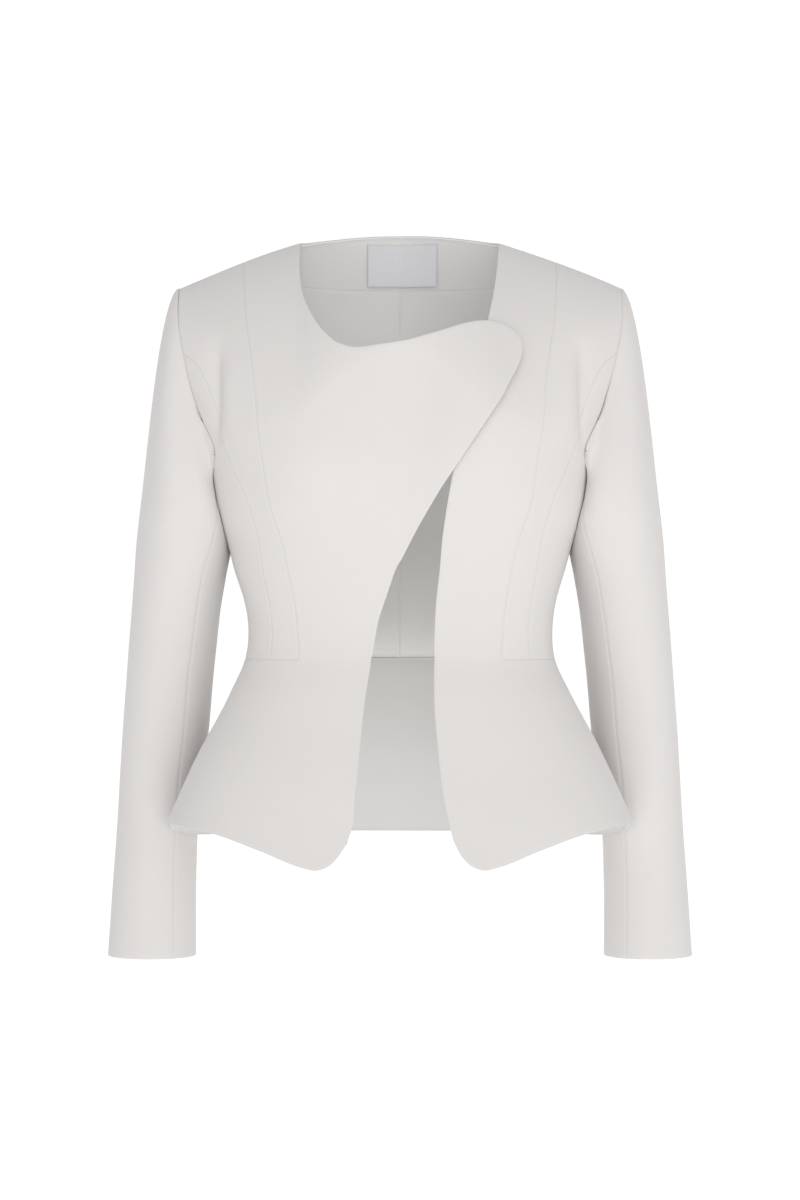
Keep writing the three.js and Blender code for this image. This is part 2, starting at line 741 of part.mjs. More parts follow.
// Turn of each column of the sleeve, from the underarm round by the front.
function sleeveTurn(column, count, z) {
  const seam = readTable(sleeveSeamTurn, 'turn', z);
  const middle = count / 2;
  const fromUnder = Math.min(column, count - column);
  const sign = column <= middle ? 1 : -1;
  if (fromUnder <= steps.underarm) {
    return sign * (180 + (seam - 180) * (fromUnder / steps.underarm));
  }
  const share = (fromUnder - steps.underarm) / (middle - steps.underarm);
  return sign * seam * (1 - share);
}

function hermitePoint(from, to, leave, arrive, t) {
  const square = t * t;
  const cube = square * t;
  return new THREE.Vector3()
    .addScaledVector(from, 2 * cube - 3 * square + 1)
    .addScaledVector(leave, cube - 2 * square + t)
    .addScaledVector(to, 3 * square - 2 * cube)
    .addScaledVector(arrive, cube - square);
}

// Where the sleeve sets off from the armhole, and in which direction.
function armholeStart(hole, column) {
  const count = hole.length;
  const here = bodyPoint(hole[column].angle, hole[column].z);
  const next = hole[(column + 1) % count];
  const before = hole[(column + count - 1) % count];
  const along = bodyPoint(next.angle, next.z).sub(bodyPoint(before.angle, before.z)).normalize();
  const outward = bodyOutward(hole[column].angle, hole[column].z);
  const away = along.clone().cross(outward).normalize();
  const centre = new THREE.Vector3(190, 5, -105);
  if (away.dot(centre.sub(here)) < 0) {
    away.negate();
  }
  const under = hole[0].z;
  const rise = Math.max((hole[column].z - under) / (shoulderHeight(shoulder.tipX) - under), 0);
  const tilt = sleeveLeave.under + (sleeveLeave.over - sleeveLeave.under) * rise ** sleeveLeave.power;
  const direction = away
    .multiplyScalar(Math.cos(tilt * degree))
    .addScaledVector(outward, Math.sin(tilt * degree))
    .normalize();
  return { place: here.addScaledVector(direction, seamGap), direction, rise };
}

// The angle of the body's face beside a place.
function besideBody(point) {
  const side = readTable(bodyRings, 'side', point.z);
  const front = point.y < side;
  const roundness = readTable(bodyRings, front ? 'roundFront' : 'roundBack', point.z);
  const reach = readTable(bodyRings, front ? 'front' : 'back', point.z) + (front ? side : -side);
  const along = (Math.abs(point.y - side) / reach) ** (roundness / 2);
  const across = (Math.max(point.x, 0) / readTable(bodyRings, 'half', point.z)) ** (roundness / 2);
  return (Math.atan2(along, across) / degree) * (front ? -1 : 1);
}

function clearOfBody(point, start) {
  const angle = besideBody(point);
  const outward = bodyOutward(angle, point.z);
  const reach = point.distanceTo(start) * sleeveRest.share;
  const away = point.clone().sub(bodyPoint(angle, point.z)).dot(outward);
  const short = Math.min(sleeveRest.clear, reach) - away;
  const push = (short + Math.hypot(short, Math.min(sleeveRest.soften, reach))) / 2;
  const below = easeStep((restReach.topZ - point.z) / restReach.topFade);
  const above = easeStep((point.z - restReach.endZ) / restReach.endFade);
  return point.addScaledVector(outward, push * below * above);
}

function sleeveNet(seams) {
  const front = joined(turned(seams.underFront), turned(seams.holeFront), turned(seams.holeTop));
  const hole = joined(front, seams.holeBack, seams.underBack).slice(0, -1);
  const count = hole.length;
  const firstLevel = sleeveRings[0].z;
  const columns = hole.map((_, column) => {
    const start = armholeStart(hole, column);
    const join = sleeveRingPoint(firstLevel, sleeveTurn(column, count, firstLevel));
    const below = sleeveRingPoint(firstLevel - 5, sleeveTurn(column, count, firstLevel - 5));
    const reach = join.distanceTo(start.place);
    const fallShare = (start.rise - sleeveLeave.fallFrom) / (sleeveLeave.fallTo - sleeveLeave.fallFrom);
    const toward = join.clone().sub(start.place).normalize();
    const leave = toward
      .lerp(start.direction, easeStep(fallShare))
      .normalize()
      .multiplyScalar(reach * sleeveHead.puff);
    const arrive = below.sub(join).normalize().multiplyScalar(reach * sleeveHead.fall);
    const stops = evenStops(sleeveHead.rows, 1 + sleeveHead.crowd * start.rise);
    const head = stops.map((t) => hermitePoint(start.place, join, leave, arrive, t));
    const tube = sleeveRings
      .slice(1)
      .map((ring) => sleeveRingPoint(ring.z, sleeveTurn(column, count, ring.z)));
    return [...head, ...tube].map((point) => clearOfBody(point, start.place));
  });
  return columns[0].map((_, r) => columns.map((column) => column[r]));
}

// Makes a sheet of one closed net of places, with directions from its neighbours.
function sleeveSheet(net, firstColumn, lastColumn) {
  const count = net[0].length;
  const wrap = (c) => (c + count) % count;
  const sheet = { points: [], outward: [], faces: [] };
  const width = lastColumn - firstColumn + 1;
  net.forEach((row, r) => {
    for (let c = firstColumn; c <= lastColumn; c += 1) {
      const up = net[Math.max(r - 1, 0)][wrap(c)];
      const down = net[Math.min(r + 1, net.length - 1)][wrap(c)];
      const across = row[wrap(c + 1)].clone().sub(row[wrap(c - 1)]);
      const direction = down.clone().sub(up).cross(across).normalize();
      sheet.points.push(row[wrap(c)].clone());
      sheet.outward.push(direction);
    }
  });
  for (let r = 0; r < net.length - 1; r += 1) {
    for (let c = 0; c < width - 1; c += 1) {
      const corner = r * width + c;
      sheet.faces.push([corner, corner + width, corner + width + 1, corner + 1]);
    }
  }
  return facingOut(sheet);
}

// A place on a net between its points, given in columns and rows.
function betweenPoints(net, column, row) {
  const c = Math.min(Math.floor(column), net[0].length - 2);
  const r = Math.min(Math.floor(row), net.length - 2);
  const u = column - c;
  const v = row - r;
  const mix = (read) => {
    const upper = read(net[r][c]).lerp(read(net[r][c + 1]), u);
    const lower = read(net[r + 1][c]).lerp(read(net[r + 1][c + 1]), u);
    return upper.lerp(lower, v);
  };
  return {
    point: mix((p) => bodyPoint(p.angle, p.z)),
    outward: mix((p) => bodyOutward(p.angle, p.z)).normalize(),
  };
}

const label = { columns: [-1.45, -1, 0, 1, 1.6], rows: [0.25, 1, 2, 2.63] };
function labelSheet(facingNet) {
  const sheet = { points: [], outward: [], faces: [] };
  for (const row of label.rows) {
    for (const column of label.columns) {
      const { point, outward } = betweenPoints(facingNet, Math.abs(column), row);
      const side = column < 0 ? -1 : 1;
      sheet.points.push(new THREE.Vector3(point.x * side, point.y, point.z));
      sheet.outward.push(new THREE.Vector3(outward.x * side, outward.y, outward.z));
    }
  }
  const width = label.columns.length;
  for (let r = 0; r < label.rows.length - 1; r += 1) {
    for (let c = 0; c < width - 1; c += 1) {
      const corner = r * width + c;
      sheet.faces.push([corner, corner + width, corner + width + 1, corner + 1]);
    }
  }
  return facingOut(sheet);
}

function buildJacket() {
  const group = new THREE.Group();
  group.name = 'wrap_peplum_jacket';
  const seams = drawSeams();
  const add = (name, sheet, cloth, thickness, depth) =>
    group.add(thicken(name, sheet, cloth, thickness, depth));
  const addPair = (name, sheet, cloth, thickness, depth) => {
    add(`left_${name}`, sheet, cloth, thickness, depth);
    add(`right_${name}`, mirrorSheet(sheet), cloth, thickness, depth);
  };

  add('right_front', sheetOnBody(rightFrontNets(seams), liftOverLeft), shellCloth, wall);
  add('left_front', sheetOnBody(leftFrontNets(seams)), shellCloth, wall);
  addPair('side_front', sheetOnBody([sideFrontNet(seams)]), shellCloth, wall);
  addPair('side_panel', sheetOnBody(sidePanelNets(seams)), shellCloth, wall);

  const back = backNets(seams);
  const backCloth = sheetOnBody([back.facing, back.low, back.chest, back.side]);
  addPair('back', backCloth, shellCloth, wall);
  const peplum = backPeplumNet(back.waist);
  const bothPeplums = sheetOnBody([peplum, peplum.map(mirrored).map(turned)].map(wholeTurn));
  add('back_peplum', bothPeplums, shellCloth, wall);

  const net = sleeveNet(seams);
  const count = net[0].length;
  const firstSeam = steps.underarm;
  addPair('top_sleeve', sleeveSheet(net, firstSeam, count - firstSeam), sleeveCloth, wall);
  addPair('under_sleeve', sleeveSheet(net, -firstSeam, firstSeam), sleeveCloth, wall);

  const inside = wall + seamGap;
  const bothFacings = sheetOnBody([back.facing, back.facing.map(mirrored).map(turned)].map(wholeTurn));
  add('back_neck_facing', bothFacings, liningCloth, liningWall, inside);
  const linedBack = sheetOnBody([back.low, back.chest, back.side]);
  addPair('back_lining', linedBack, liningCloth, liningWall, inside);
  add('peplum_lining', bothPeplums, liningCloth, liningWall, inside);
  const onFacing = inside + liningWall + seamGap;
  add('neck_label', labelSheet(back.facing), labelCloth, labelWall, onFacing);
  return group;
}

// Brings the angles of a net into one full turn, so that halves meet at centre back.
function wholeTurn(net) {
  return net.map((row) =>
    row.map((point) => ({ angle: point.angle < -180 ? point.angle + 360 : point.angle, z: point.z })),
  );
}

export default buildJacket();
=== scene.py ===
import math
import bpy
import bmesh
import numpy as np
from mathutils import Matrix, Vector, kdtree


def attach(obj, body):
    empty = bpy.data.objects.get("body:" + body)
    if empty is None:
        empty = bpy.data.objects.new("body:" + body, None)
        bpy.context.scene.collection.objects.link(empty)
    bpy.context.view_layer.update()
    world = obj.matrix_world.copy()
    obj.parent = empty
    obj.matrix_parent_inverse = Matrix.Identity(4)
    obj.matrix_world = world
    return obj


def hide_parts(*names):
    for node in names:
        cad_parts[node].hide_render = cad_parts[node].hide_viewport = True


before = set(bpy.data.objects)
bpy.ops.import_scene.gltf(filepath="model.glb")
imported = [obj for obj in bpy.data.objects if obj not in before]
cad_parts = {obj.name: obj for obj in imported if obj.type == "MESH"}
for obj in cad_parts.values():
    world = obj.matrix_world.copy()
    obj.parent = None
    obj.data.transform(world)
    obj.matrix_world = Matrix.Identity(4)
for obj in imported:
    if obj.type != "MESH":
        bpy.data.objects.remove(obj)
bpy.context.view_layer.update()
print("frame loaded:", len(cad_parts), "nodes")

# Sizes are in millimetres here, and become metres where a mesh gets its points.
metre = 0.001
waistLevel = -348.5
sideSeamAngle = 5
centreBackAngle = 90

# ---- the garment's form ------------------------------------------------------

# Level rings of the body: half width, depths, widest point and roundness.
ringColumns = ("z", "half", "front", "back", "side", "roundFront", "roundBack")
bodyRings = [
    (40, 238, 110, 104, 0, 3.0, 3.0),
    (0, 234, 110, 104, 0, 3.0, 3.0),
    (-23, 230, 112, 105, 0, 2.9, 2.9),
    (-50, 222, 114, 107, 0, 2.75, 2.75),
    (-85, 208, 116, 108, 0, 2.55, 2.6),
    (-122, 191, 118, 108, 0, 2.5, 2.45),
    (-153, 179, 119, 106, 0, 2.5, 2.35),
    (-176, 171.5, 119, 103, 0, 2.5, 2.3),
    (-195, 168.3, 117, 100, 0, 2.5, 2.25),
    (-215, 165, 114, 96, 0, 2.5, 2.2),
    (-230, 159.5, 111, 94, 0, 2.5, 2.2),
    (-245, 152.3, 108, 91, 0, 2.5, 2.2),
    (-272, 144.3, 102, 86, 0, 2.5, 2.2),
    (-300, 136.0, 96, 82, 0, 2.5, 2.2),
    (-324, 133.1, 92, 80, 0, 2.55, 2.2),
    (-348.5, 135.8, 93, 82, 0, 2.6, 2.2),
    (-378, 149.3, 101, 91, -4, 2.9, 2.2),
    (-427, 174.1, 116, 109, -11, 3.2, 2.1),
    (-489, 202.0, 136, 133, -20, 3.4, 2.05),
    (-530, 220.0, 149, 148, -24, 3.4, 2.0),
]
bodyForm = {
    "neckX": 87,
    "neckZ": 17,
    "tipX": 194,
    "princessX": 137,
    "shoulderSlope": 0.3103,
    "shoulderBend": 0.000594,
    "domeSlope": 0.36,
    "domeRise": 32,
    "roundDepth": 160,
    "roundPower": 1.6,
    "roundFlat": 0.7,
    "bustX": 85,
    "bustZ": -172,
    "bustWide": 50,
    "bustTall": 58,
    "bustRise": 9,
    "creaseX": 162,
    "creaseLean": 0.06,
    "creaseZ": -108,
    "creaseWide": 15,
    "creaseTall": 32,
    "creaseDepth": 2.6,
}


def readSmooth(knots, values, at):
    # values at knots, with slopes taken from the neighbours
    knots = np.asarray(knots, float)
    values = np.asarray(values, float)
    at = np.asarray(at, float)
    if knots[-1] < knots[0]:
        knots, at = -knots, -at
    gaps = np.diff(knots)
    gradient = np.diff(values) / gaps
    slope = np.empty_like(values)
    slope[0] = gradient[0]
    slope[-1] = gradient[-1]
    slope[1:-1] = (gradient[:-1] * gaps[1:] + gradient[1:] * gaps[:-1]) / (gaps[:-1] + gaps[1:])
    row = np.clip(np.searchsorted(knots, at, side="right") - 1, 0, len(knots) - 2)
    span = gaps[row]
    t = (at - knots[row]) / span
    square, cube = t * t, t * t * t
    return (
        (2 * cube - 3 * square + 1) * values[row]
        + (cube - 2 * square + t) * span * slope[row]
        + (3 * square - 2 * cube) * values[row + 1]
        + (cube - square) * span * slope[row + 1]
    )


def readRings(column, z):
    at = ringColumns.index(column)
    return readSmooth([ring[0] for ring in bodyRings], [ring[at] for ring in bodyRings], z)


def easeStep(t):
    held = np.clip(t, 0, 1)
    return held * held * (3 - 2 * held)


def bell(distance, width):
    return np.exp(-((distance / width) ** 2))


def shoulderHeight(x):
    out = np.abs(x) - bodyForm["neckX"]
    share = np.abs(x) / bodyForm["neckX"]
    outer = bodyForm["neckZ"] - bodyForm["shoulderSlope"] * out - bodyForm["shoulderBend"] * out**2
    dome = bodyForm["neckZ"] - bodyForm["domeSlope"] * out + bodyForm["domeRise"] * (1 - share**2)
    return np.where(out >= 0, outer, dome)


def closeIn(drop):
    share = np.clip(drop / bodyForm["roundDepth"], 0, 1)
    return (1 - (1 - share) ** bodyForm["roundPower"]) ** bodyForm["roundFlat"]


def frontRelief(x, z):
    form = bodyForm
    across = bell(np.abs(x) - form["bustX"], form["bustWide"])
    swell = form["bustRise"] * across * bell(z - form["bustZ"], form["bustTall"])
    creaseX = form["creaseX"] - form["creaseLean"] * (z - form["creaseZ"])
    crease = bell(np.abs(x) - creaseX, form["creaseWide"]) * bell(z - form["creaseZ"], form["creaseTall"])
    return swell - form["creaseDepth"] * crease


def bodyPoint(angle, z):
    # angle 0 is the left side, -90 the centre front, -180 the right side, 90 the centre back
    turn = np.radians(angle)
    isFront = np.sin(turn) < 0
    roundness = np.where(isFront, readRings("roundFront", z), readRings("roundBack", z))
    depth = np.where(isFront, readRings("front", z), readRings("back", z))
    half, side = readRings("half", z), readRings("side", z)
    along = np.abs(np.sin(turn)) ** (2 / roundness)
    x = half * np.abs(np.cos(turn)) ** (2 / roundness) * np.sign(np.cos(turn))
    rounded = closeIn(shoulderHeight(x) - z)
    frontY = side * rounded - ((depth + side) * rounded + frontRelief(x, z)) * along
    backY = side * rounded + (depth - side) * rounded * along
    return np.stack([x, np.where(isFront, frontY, backY), z], axis=-1)


def unit(vectors):
    return vectors / np.maximum(np.linalg.norm(vectors, axis=-1, keepdims=True), 1e-9)


def bodyOutward(angle, z):
    turnStep = 0.4
    place = bodyPoint(angle, z)
    drop = shoulderHeight(place[..., 0]) - z
    reach = np.clip(drop * 0.4, 0.05, 0.8)
    level = z - np.where(drop < reach, reach, 0)
    across = bodyPoint(angle + turnStep, level) - bodyPoint(angle - turnStep, level)
    up = bodyPoint(angle, level + reach) - bodyPoint(angle, level - reach)
    outward = unit(np.cross(across, up))
    top = np.stack([np.sign(place[..., 0]) * 0.37, np.zeros_like(drop), np.ones_like(drop)], axis=-1)
    share = easeStep(drop / 9)[..., None]
    return unit(unit(top) * (1 - share) + outward * share)


def angleAt(x, z, face):
    roundness = readRings("roundFront" if face < 0 else "roundBack", z)
    share = np.minimum(np.abs(x) / readRings("half", z), 1) ** (roundness / 2)
    angle = np.degrees(np.arccos(share)) * face
    return np.where(np.asarray(x) >= 0, angle, -180 - angle)


# ---- cut lines ---------------------------------------------------------------
# A line is a function: shares of its length in, (angle, z) out.


def cutLine(rows, face, power=1.0):
    # rows are (x, z), or ("turn", angle, z) where the cloth turns under
    angles = np.array([float(row[1]) if row[0] == "turn" else float(angleAt(row[0], row[1], face)) for row in rows])
    levels = np.array([float(row[-1]) for row in rows])
    steps = np.linalg.norm(np.diff(bodyPoint(angles, levels), axis=0), axis=1)
    lengths = np.concatenate([[0], np.cumsum(np.maximum(steps, 0.01))])

    def line(share):
        at = np.asarray(share, float) ** power * lengths[-1]
        return readSmooth(lengths, angles, at), readSmooth(lengths, levels, at)

    return line


def straightLine(start, end):
    def line(share):
        share = np.asarray(share, float)
        return start[0] + (end[0] - start[0]) * share, start[1] + (end[1] - start[1]) * share

    return line


def shoulderLine(fromX, toX, face):
    def line(share):
        x = fromX + (toX - fromX) * np.asarray(share, float)
        z = shoulderHeight(x)
        return angleAt(x, z, face), z

    return line


def turned(line):
    return lambda share: line(1 - np.asarray(share, float))


def part(line, start, end):
    return lambda share: line(start + (end - start) * np.asarray(share, float))


def mirrored(line):
    def other(share):
        angle, z = line(share)
        return -180 - angle, z

    return other


def joined(*pieces):
    # pieces are (line, steps): each takes its steps' share of the whole
    lines = [piece[0] for piece in pieces]
    steps = np.array([piece[1] for piece in pieces], float)
    starts = np.concatenate([[0], np.cumsum(steps)]) / steps.sum()

    def line(share):
        share = np.asarray(share, float)
        angle, z = np.zeros_like(share), np.zeros_like(share)
        last = len(lines) - 1
        for i, each in enumerate(lines):
            inside = (share >= starts[i]) & ((share < starts[i + 1]) | (i == last))
            local = np.clip((share - starts[i]) / (starts[i + 1] - starts[i]), 0, 1)
            pieceAngle, pieceZ = each(local)
            angle = np.where(inside, pieceAngle, angle)
            z = np.where(inside, pieceZ, z)
        return angle, z

    return line


def end(line, share):
    angle, z = line(np.array([float(share)]))
    return float(angle[0]), float(z[0])


def fillNet(top, bottom, left, right):
    # fills four meeting lines: u runs along top and bottom, v down the sides
    corners = [end(top, 0), end(top, 1), end(bottom, 0), end(bottom, 1)]

    def net(u, v):
        found = []
        sides = zip(top(u), bottom(u), left(v), right(v), *corners)
        for topAt, bottomAt, leftAt, rightAt, a, b, c, d in sides:
            level = (1 - v) * topAt + v * bottomAt
            upright = (1 - u) * leftAt + u * rightAt
            found.append(level + upright - (1 - v) * ((1 - u) * a + u * b) - v * ((1 - u) * c + u * d))
        return found

    return net


steps = {
    "strap": 6,
    "princess": 16,
    "armholeTop": 4,
    "armholeFront": 4,
    "armholeBack": 8,
    "underarm": 3,
    "panelStrip": 2,
    "side": 8,
    "neckHalf": 4,
    "shoulderInner": 4,
    "shoulderOuter": 4,
    "facing": 3,
    "peplum": 7,
    "wing": 9,
}

princessRows = [
    (137, 0),
    (135, -35),
    (131, -68),
    (125, -111),
    (120, -164),
    (114.5, -203),
    (105.7, -235),
    (96.5, -270),
    (90.7, -301),
    (88, -329),
    (87.9, -348.5),
]
sidePanelRows = [
    (187.5, -84),
    (178, -91),
    (169, -106),
    (161, -130),
    (154.5, -158),
    (146, -180),
    (131, -214),
    (120.4, -253),
    (113.8, -293),
    (112.7, -348.5),
]
armholeTopRows = [(194, -23), (194, -42), (192, -62), (187.5, -84)]
armholeFrontRows = [
    (187.5, -84),
    (179, -119),
    (174, -135),
    (166.5, -152),
    (161.3, -164),
    ("turn", -24.9, -172),
]
underFrontRows = [
    ("turn", -24.9, -172),
    ("turn", -17.5, -182),
    ("turn", -7, -188),
    ("turn", sideSeamAngle, -190),
]
armholeBackRows = [
    (194, -23),
    (193, -42),
    (190, -62),
    (179, -108),
    (166, -150),
    ("turn", 24.8, -172),
]
underBackRows = [("turn", 24.8, -172), ("turn", 18, -182), ("turn", sideSeamAngle, -190)]
rightStrapRows = [
    (-87, 17),
    (-87.2, -1),
    (-86.4, -17),
    (-81.8, -39),
    (-75.7, -52.6),
    (-65.6, -67.7),
    (-54.3, -78.2),
]
rightNeckRows = [
    (-54.3, -78.2),
    (-41.7, -82.4),
    (-15.2, -80.2),
    (26.5, -70.9),
    (60.2, -61.4),
    (74.2, -60.2),
    (85.5, -62.2),
    (94.1, -67.3),
    (100.8, -75.2),
    (102.8, -86),
]
rightWrapRows = [
    (102.8, -86),
    (100, -97.3),
    (93.4, -110.6),
    (82.1, -130.7),
    (56.9, -169.7),
    (31.7, -207.2),
    (8.1, -249.5),
    (-10.7, -292),
    (-17.9, -313.4),
    (-24.8, -348.5),
]
rightPeplumRows = [
    (-24.8, -348.5),
    (-30.8, -391.4),
    (-37.7, -461.2),
    (-40.3, -489),
    (-44.6, -502.1),
]
leftEdgeRows = [
    (87, 17),
    (85.9, 0),
    (83.9, -15.6),
    (77.9, -46.4),
    (66.1, -93.9),
    (50.7, -162.3),
    (40, -216.6),
    (33.2, -277.8),
    (29.5, -348.5),
]
leftPeplumRows = [
    (29.5, -348.5),
    (28.9, -375),
    (32.2, -424.4),
    (39.7, -479.5),
    (44.9, -499.7),
]
hemRows = [
    (51.8, -512.5),
    (60, -520.6),
    (72, -524),
    (81.3, -522),
    (119.5, -507.8),
    (154.3, -496),
    (182.7, -490.4),
    ("turn", -10, -488.3),
    ("turn", sideSeamAngle, -488.6),
]
backCut = {"hemSide": -488.6, "hemMiddle": -508.5, "hemTurn": 8, "neckRise": 12, "facingHalf": 100, "facingFoot": -17}

neckX, princessX, tipX = bodyForm["neckX"], bodyForm["princessX"], bodyForm["tipX"]
princess = cutLine(princessRows, -1, 1.5)
sidePanelSeam = cutLine(sidePanelRows, -1)
armholeTop = cutLine(armholeTopRows, -1, 1.75)
armholeFront = cutLine(armholeFrontRows, -1)
underFront = cutLine(underFrontRows, -1)
armholeBack = cutLine(armholeBackRows, 1, 1.2)
underBack = cutLine(underBackRows, 1)
sideWaist = (sideSeamAngle, waistLevel)
sideSeam = straightLine(end(underFront, 1), sideWaist)
peplumSide = straightLine(sideWaist, (sideSeamAngle, backCut["hemSide"]))
waistOuter = straightLine(end(sidePanelSeam, 1), sideWaist)
waistInner = straightLine(end(princess, 1), end(sidePanelSeam, 1))
panelSplit = steps["armholeFront"] / (steps["armholeFront"] + steps["side"])
waistSteps = (steps["shoulderOuter"], steps["panelStrip"] + steps["underarm"])

# ---- making cloth ------------------------------------------------------------

clothFinish = {
    "cell": 4.6,  # mm between the points of a cloth's net
    "shell": 1.7,
    "lining": 0.9,
    "gap": 0.015,
    "seamDip": 0.22,
    "seamRoll": 0.9,
    "seamSwell": 0.7,
    "swellAt": 2.6,
    "swellWide": 1.5,
}


def cuts(count, fine, fromEdge=False, toEdge=False):
    # shares that divide count steps, crowded where an edge or seam is near
    even = np.arange(fine) / fine
    close = np.array([0, 0.035, 0.09, 0.18, 0.32, 0.5, 0.75])
    shares = []
    for step in range(count):
        if count == 1 and fromEdge and toEdge:
            inner = np.concatenate([close[:5] / 1.0, 1 - close[5:0:-1]])
        elif step == 0 and fromEdge:
            inner = close
        elif step == count - 1 and toEdge:
            inner = np.concatenate([[0], 1 - close[:0:-1]])
        else:
            inner = even
        shares.extend((step + inner) / count)
    return np.array(shares + [1.0])


def chain(*parts):
    # joins runs of shares, each with its number of steps
    total = sum(count for count, _ in parts)
    found, start = [], 0
    for count, shares in parts:
        found.extend((start + np.asarray(shares[:-1]) * count) / total)
        start += count
    return np.array(found + [1.0])


def addPatch(bm, net, columns, rows, place):
    # one grid, wrapped onto the form
    columns, rows = np.asarray(columns), np.asarray(rows)
    across, down = len(columns) - 1, len(rows) - 1
    made = bmesh.ops.create_grid(bm, x_segments=across, y_segments=down, size=0.5)["verts"]
    flat = np.array([vert.co[:2] for vert in made])
    low, high = flat.min(axis=0), flat.max(axis=0)
    share = (flat - low) / (high - low)
    u = columns[np.rint(share[:, 0] * across).astype(int)]
    v = rows[np.rint((1 - share[:, 1]) * down).astype(int)]
    points = place(net, u, v)
    for vert, point in zip(made, points):
        vert.co = point


def onBody(depth=0.0, lift=None, folds=None):
    # places a net's points on the body, depth millimetres under its face
    def place(net, u, v):
        angle, z = net(u, v)
        point, outward = bodyPoint(angle, z), bodyOutward(angle, z)
        rise = np.full(len(z), -float(depth))
        if lift is not None:
            rise = rise + lift(point)
        if folds is not None:
            rise = rise + folds(point)
        return point + outward * rise[:, None]

    return place


def boundaryTree(bm, spacing):
    marks = []
    for edge in bm.edges:
        if edge.is_boundary:
            a, b = edge.verts[0].co, edge.verts[1].co
            count = max(1, int((b - a).length / spacing))
            marks.extend(a.lerp(b, i / count) for i in range(count))
    tree = kdtree.KDTree(len(marks))
    for i, mark in enumerate(marks):
        tree.insert(mark, i)
    tree.balance()
    return tree


def finishCloth(name, bm, node, material, thickness, seamDip, sheet):
    bmesh.ops.remove_doubles(bm, verts=bm.verts, dist=0.02)
    bmesh.ops.dissolve_degenerate(bm, dist=0.01, edges=bm.edges)
    bmesh.ops.recalc_face_normals(bm, faces=bm.faces)
    bm.normal_update()
    # the sheet faces away from its own hollow, which holds the point it is told
    middle = Vector(sheet["inside"])
    agree = sum((face.calc_center_median() - middle).dot(face.normal) * face.calc_area() for face in bm.faces)
    if agree < 0:
        bmesh.ops.reverse_faces(bm, faces=bm.faces)
        bm.normal_update()
    tree = boundaryTree(bm, 0.6)
    near = [tree.find(vert.co)[2] for vert in bm.verts]
    pull = []
    for vert, distance in zip(bm.verts, near):
        inward = Vector()
        if vert.is_boundary:
            for edge in vert.link_edges:
                if edge.is_boundary:
                    face = edge.link_faces[0]
                    side = face.calc_center_median() - edge.verts[0].co
                    along = (edge.verts[1].co - edge.verts[0].co).normalized()
                    inward += (side - along * side.dot(along)).normalized() * 0.5
        dip = float(bell(distance, clothFinish["seamRoll"])) * seamDip
        swell = float(bell(distance - clothFinish["swellAt"], clothFinish["swellWide"]))
        dip -= swell * clothFinish["seamSwell"] * seamDip
        pull.append(inward * clothFinish["gap"] - vert.normal * dip)
    for vert, move in zip(bm.verts, pull):
        vert.co = (vert.co + move) * metre
    mesh = bpy.data.meshes.new(name)
    bm.to_mesh(mesh)
    bm.free()
    seam = mesh.attributes.new("seamDistance", "FLOAT", "POINT")
    seam.data.foreach_set("value", np.array(near, dtype=np.float32))
    mesh.shade_smooth()
    piece = bpy.data.objects.new(name, mesh)
    bpy.context.scene.collection.objects.link(piece)
    mesh.materials.append(material)
    wall = piece.modifiers.new("wall", "SOLIDIFY")
    wall.thickness = thickness * metre
    wall.offset = -1
    wall.use_even_offset = False
    edge = piece.modifiers.new("softEdge", "BEVEL")
    edge.width = 0.14 * thickness * metre
    edge.segments = 2
    edge.limit_method = "ANGLE"
    edge.angle_limit = math.radians(55)
    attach(piece, "root")
    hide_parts(node)
    area = sum(polygon.area for polygon in mesh.polygons)
    print(f"{name}: {len(mesh.vertices)} points, {area:.4f} m2, size {[round(s, 3) for s in piece.dimensions]}")
    return piece


# ---- materials ---------------------------------------------------------------


class Wire:
    # wraps a socket, so that shader maths reads as plain sums
    def __init__(self, tree, socket):
        self.tree = tree
        self.socket = socket

    def maths(self, operation, first, second=None):
        node = self.tree.nodes.new("ShaderNodeMath")
        node.operation = operation
        for place, value in enumerate((first, second)):
            if isinstance(value, Wire):
                self.tree.links.new(value.socket, node.inputs[place])
            elif value is not None:
                node.inputs[place].default_value = value
        return Wire(self.tree, node.outputs[0])

    def __add__(self, other):
        return self.maths("ADD", self, other)

    __radd__ = __add__

    def __mul__(self, other):
        return self.maths("MULTIPLY", self, other)

    __rmul__ = __mul__

    def __sub__(self, other):
        return self.maths("SUBTRACT", self, other)

    def __rsub__(self, other):
        return self.maths("SUBTRACT", other, self)

    def __truediv__(self, other):
        return self.maths("DIVIDE", self, other)

    def __pow__(self, other):
        return self.maths("POWER", self, other)


def addNode(tree, kind, settings=None, inputs=None, output=0):
    node = tree.nodes.new(kind)
    for key, value in (settings or {}).items():
        if key == "ramp":
            while len(node.color_ramp.elements) < len(value):
                node.color_ramp.elements.new(0.5)
            for element, (position, colour) in zip(node.color_ramp.elements, value):
                element.position = position
                element.color = colour
        else:
            setattr(node, key, value)
    for key, value in (inputs or {}).items():
        if isinstance(value, Wire):
            tree.links.new(value.socket, node.inputs[key])
        else:
            node.inputs[key].default_value = value
    return Wire(tree, node.outputs[output])


def newMaterial(name, settings):
    material = bpy.data.materials.new(name)
    material.use_nodes = True
    tree = material.node_tree
    tree.nodes.clear()
    shader = tree.nodes.new("ShaderNodeBsdfPrincipled")
    shader.inputs["Roughness"].default_value = settings["roughness"]
    shader.inputs["Sheen Weight"].default_value = settings["sheen"]
    shader.inputs["Sheen Roughness"].default_value = 0.5
    shader.inputs["Specular IOR Level"].default_value = settings["specular"]
    out = tree.nodes.new("ShaderNodeOutputMaterial")
    tree.links.new(shader.outputs[0], out.inputs[0])
    return material, tree, shader


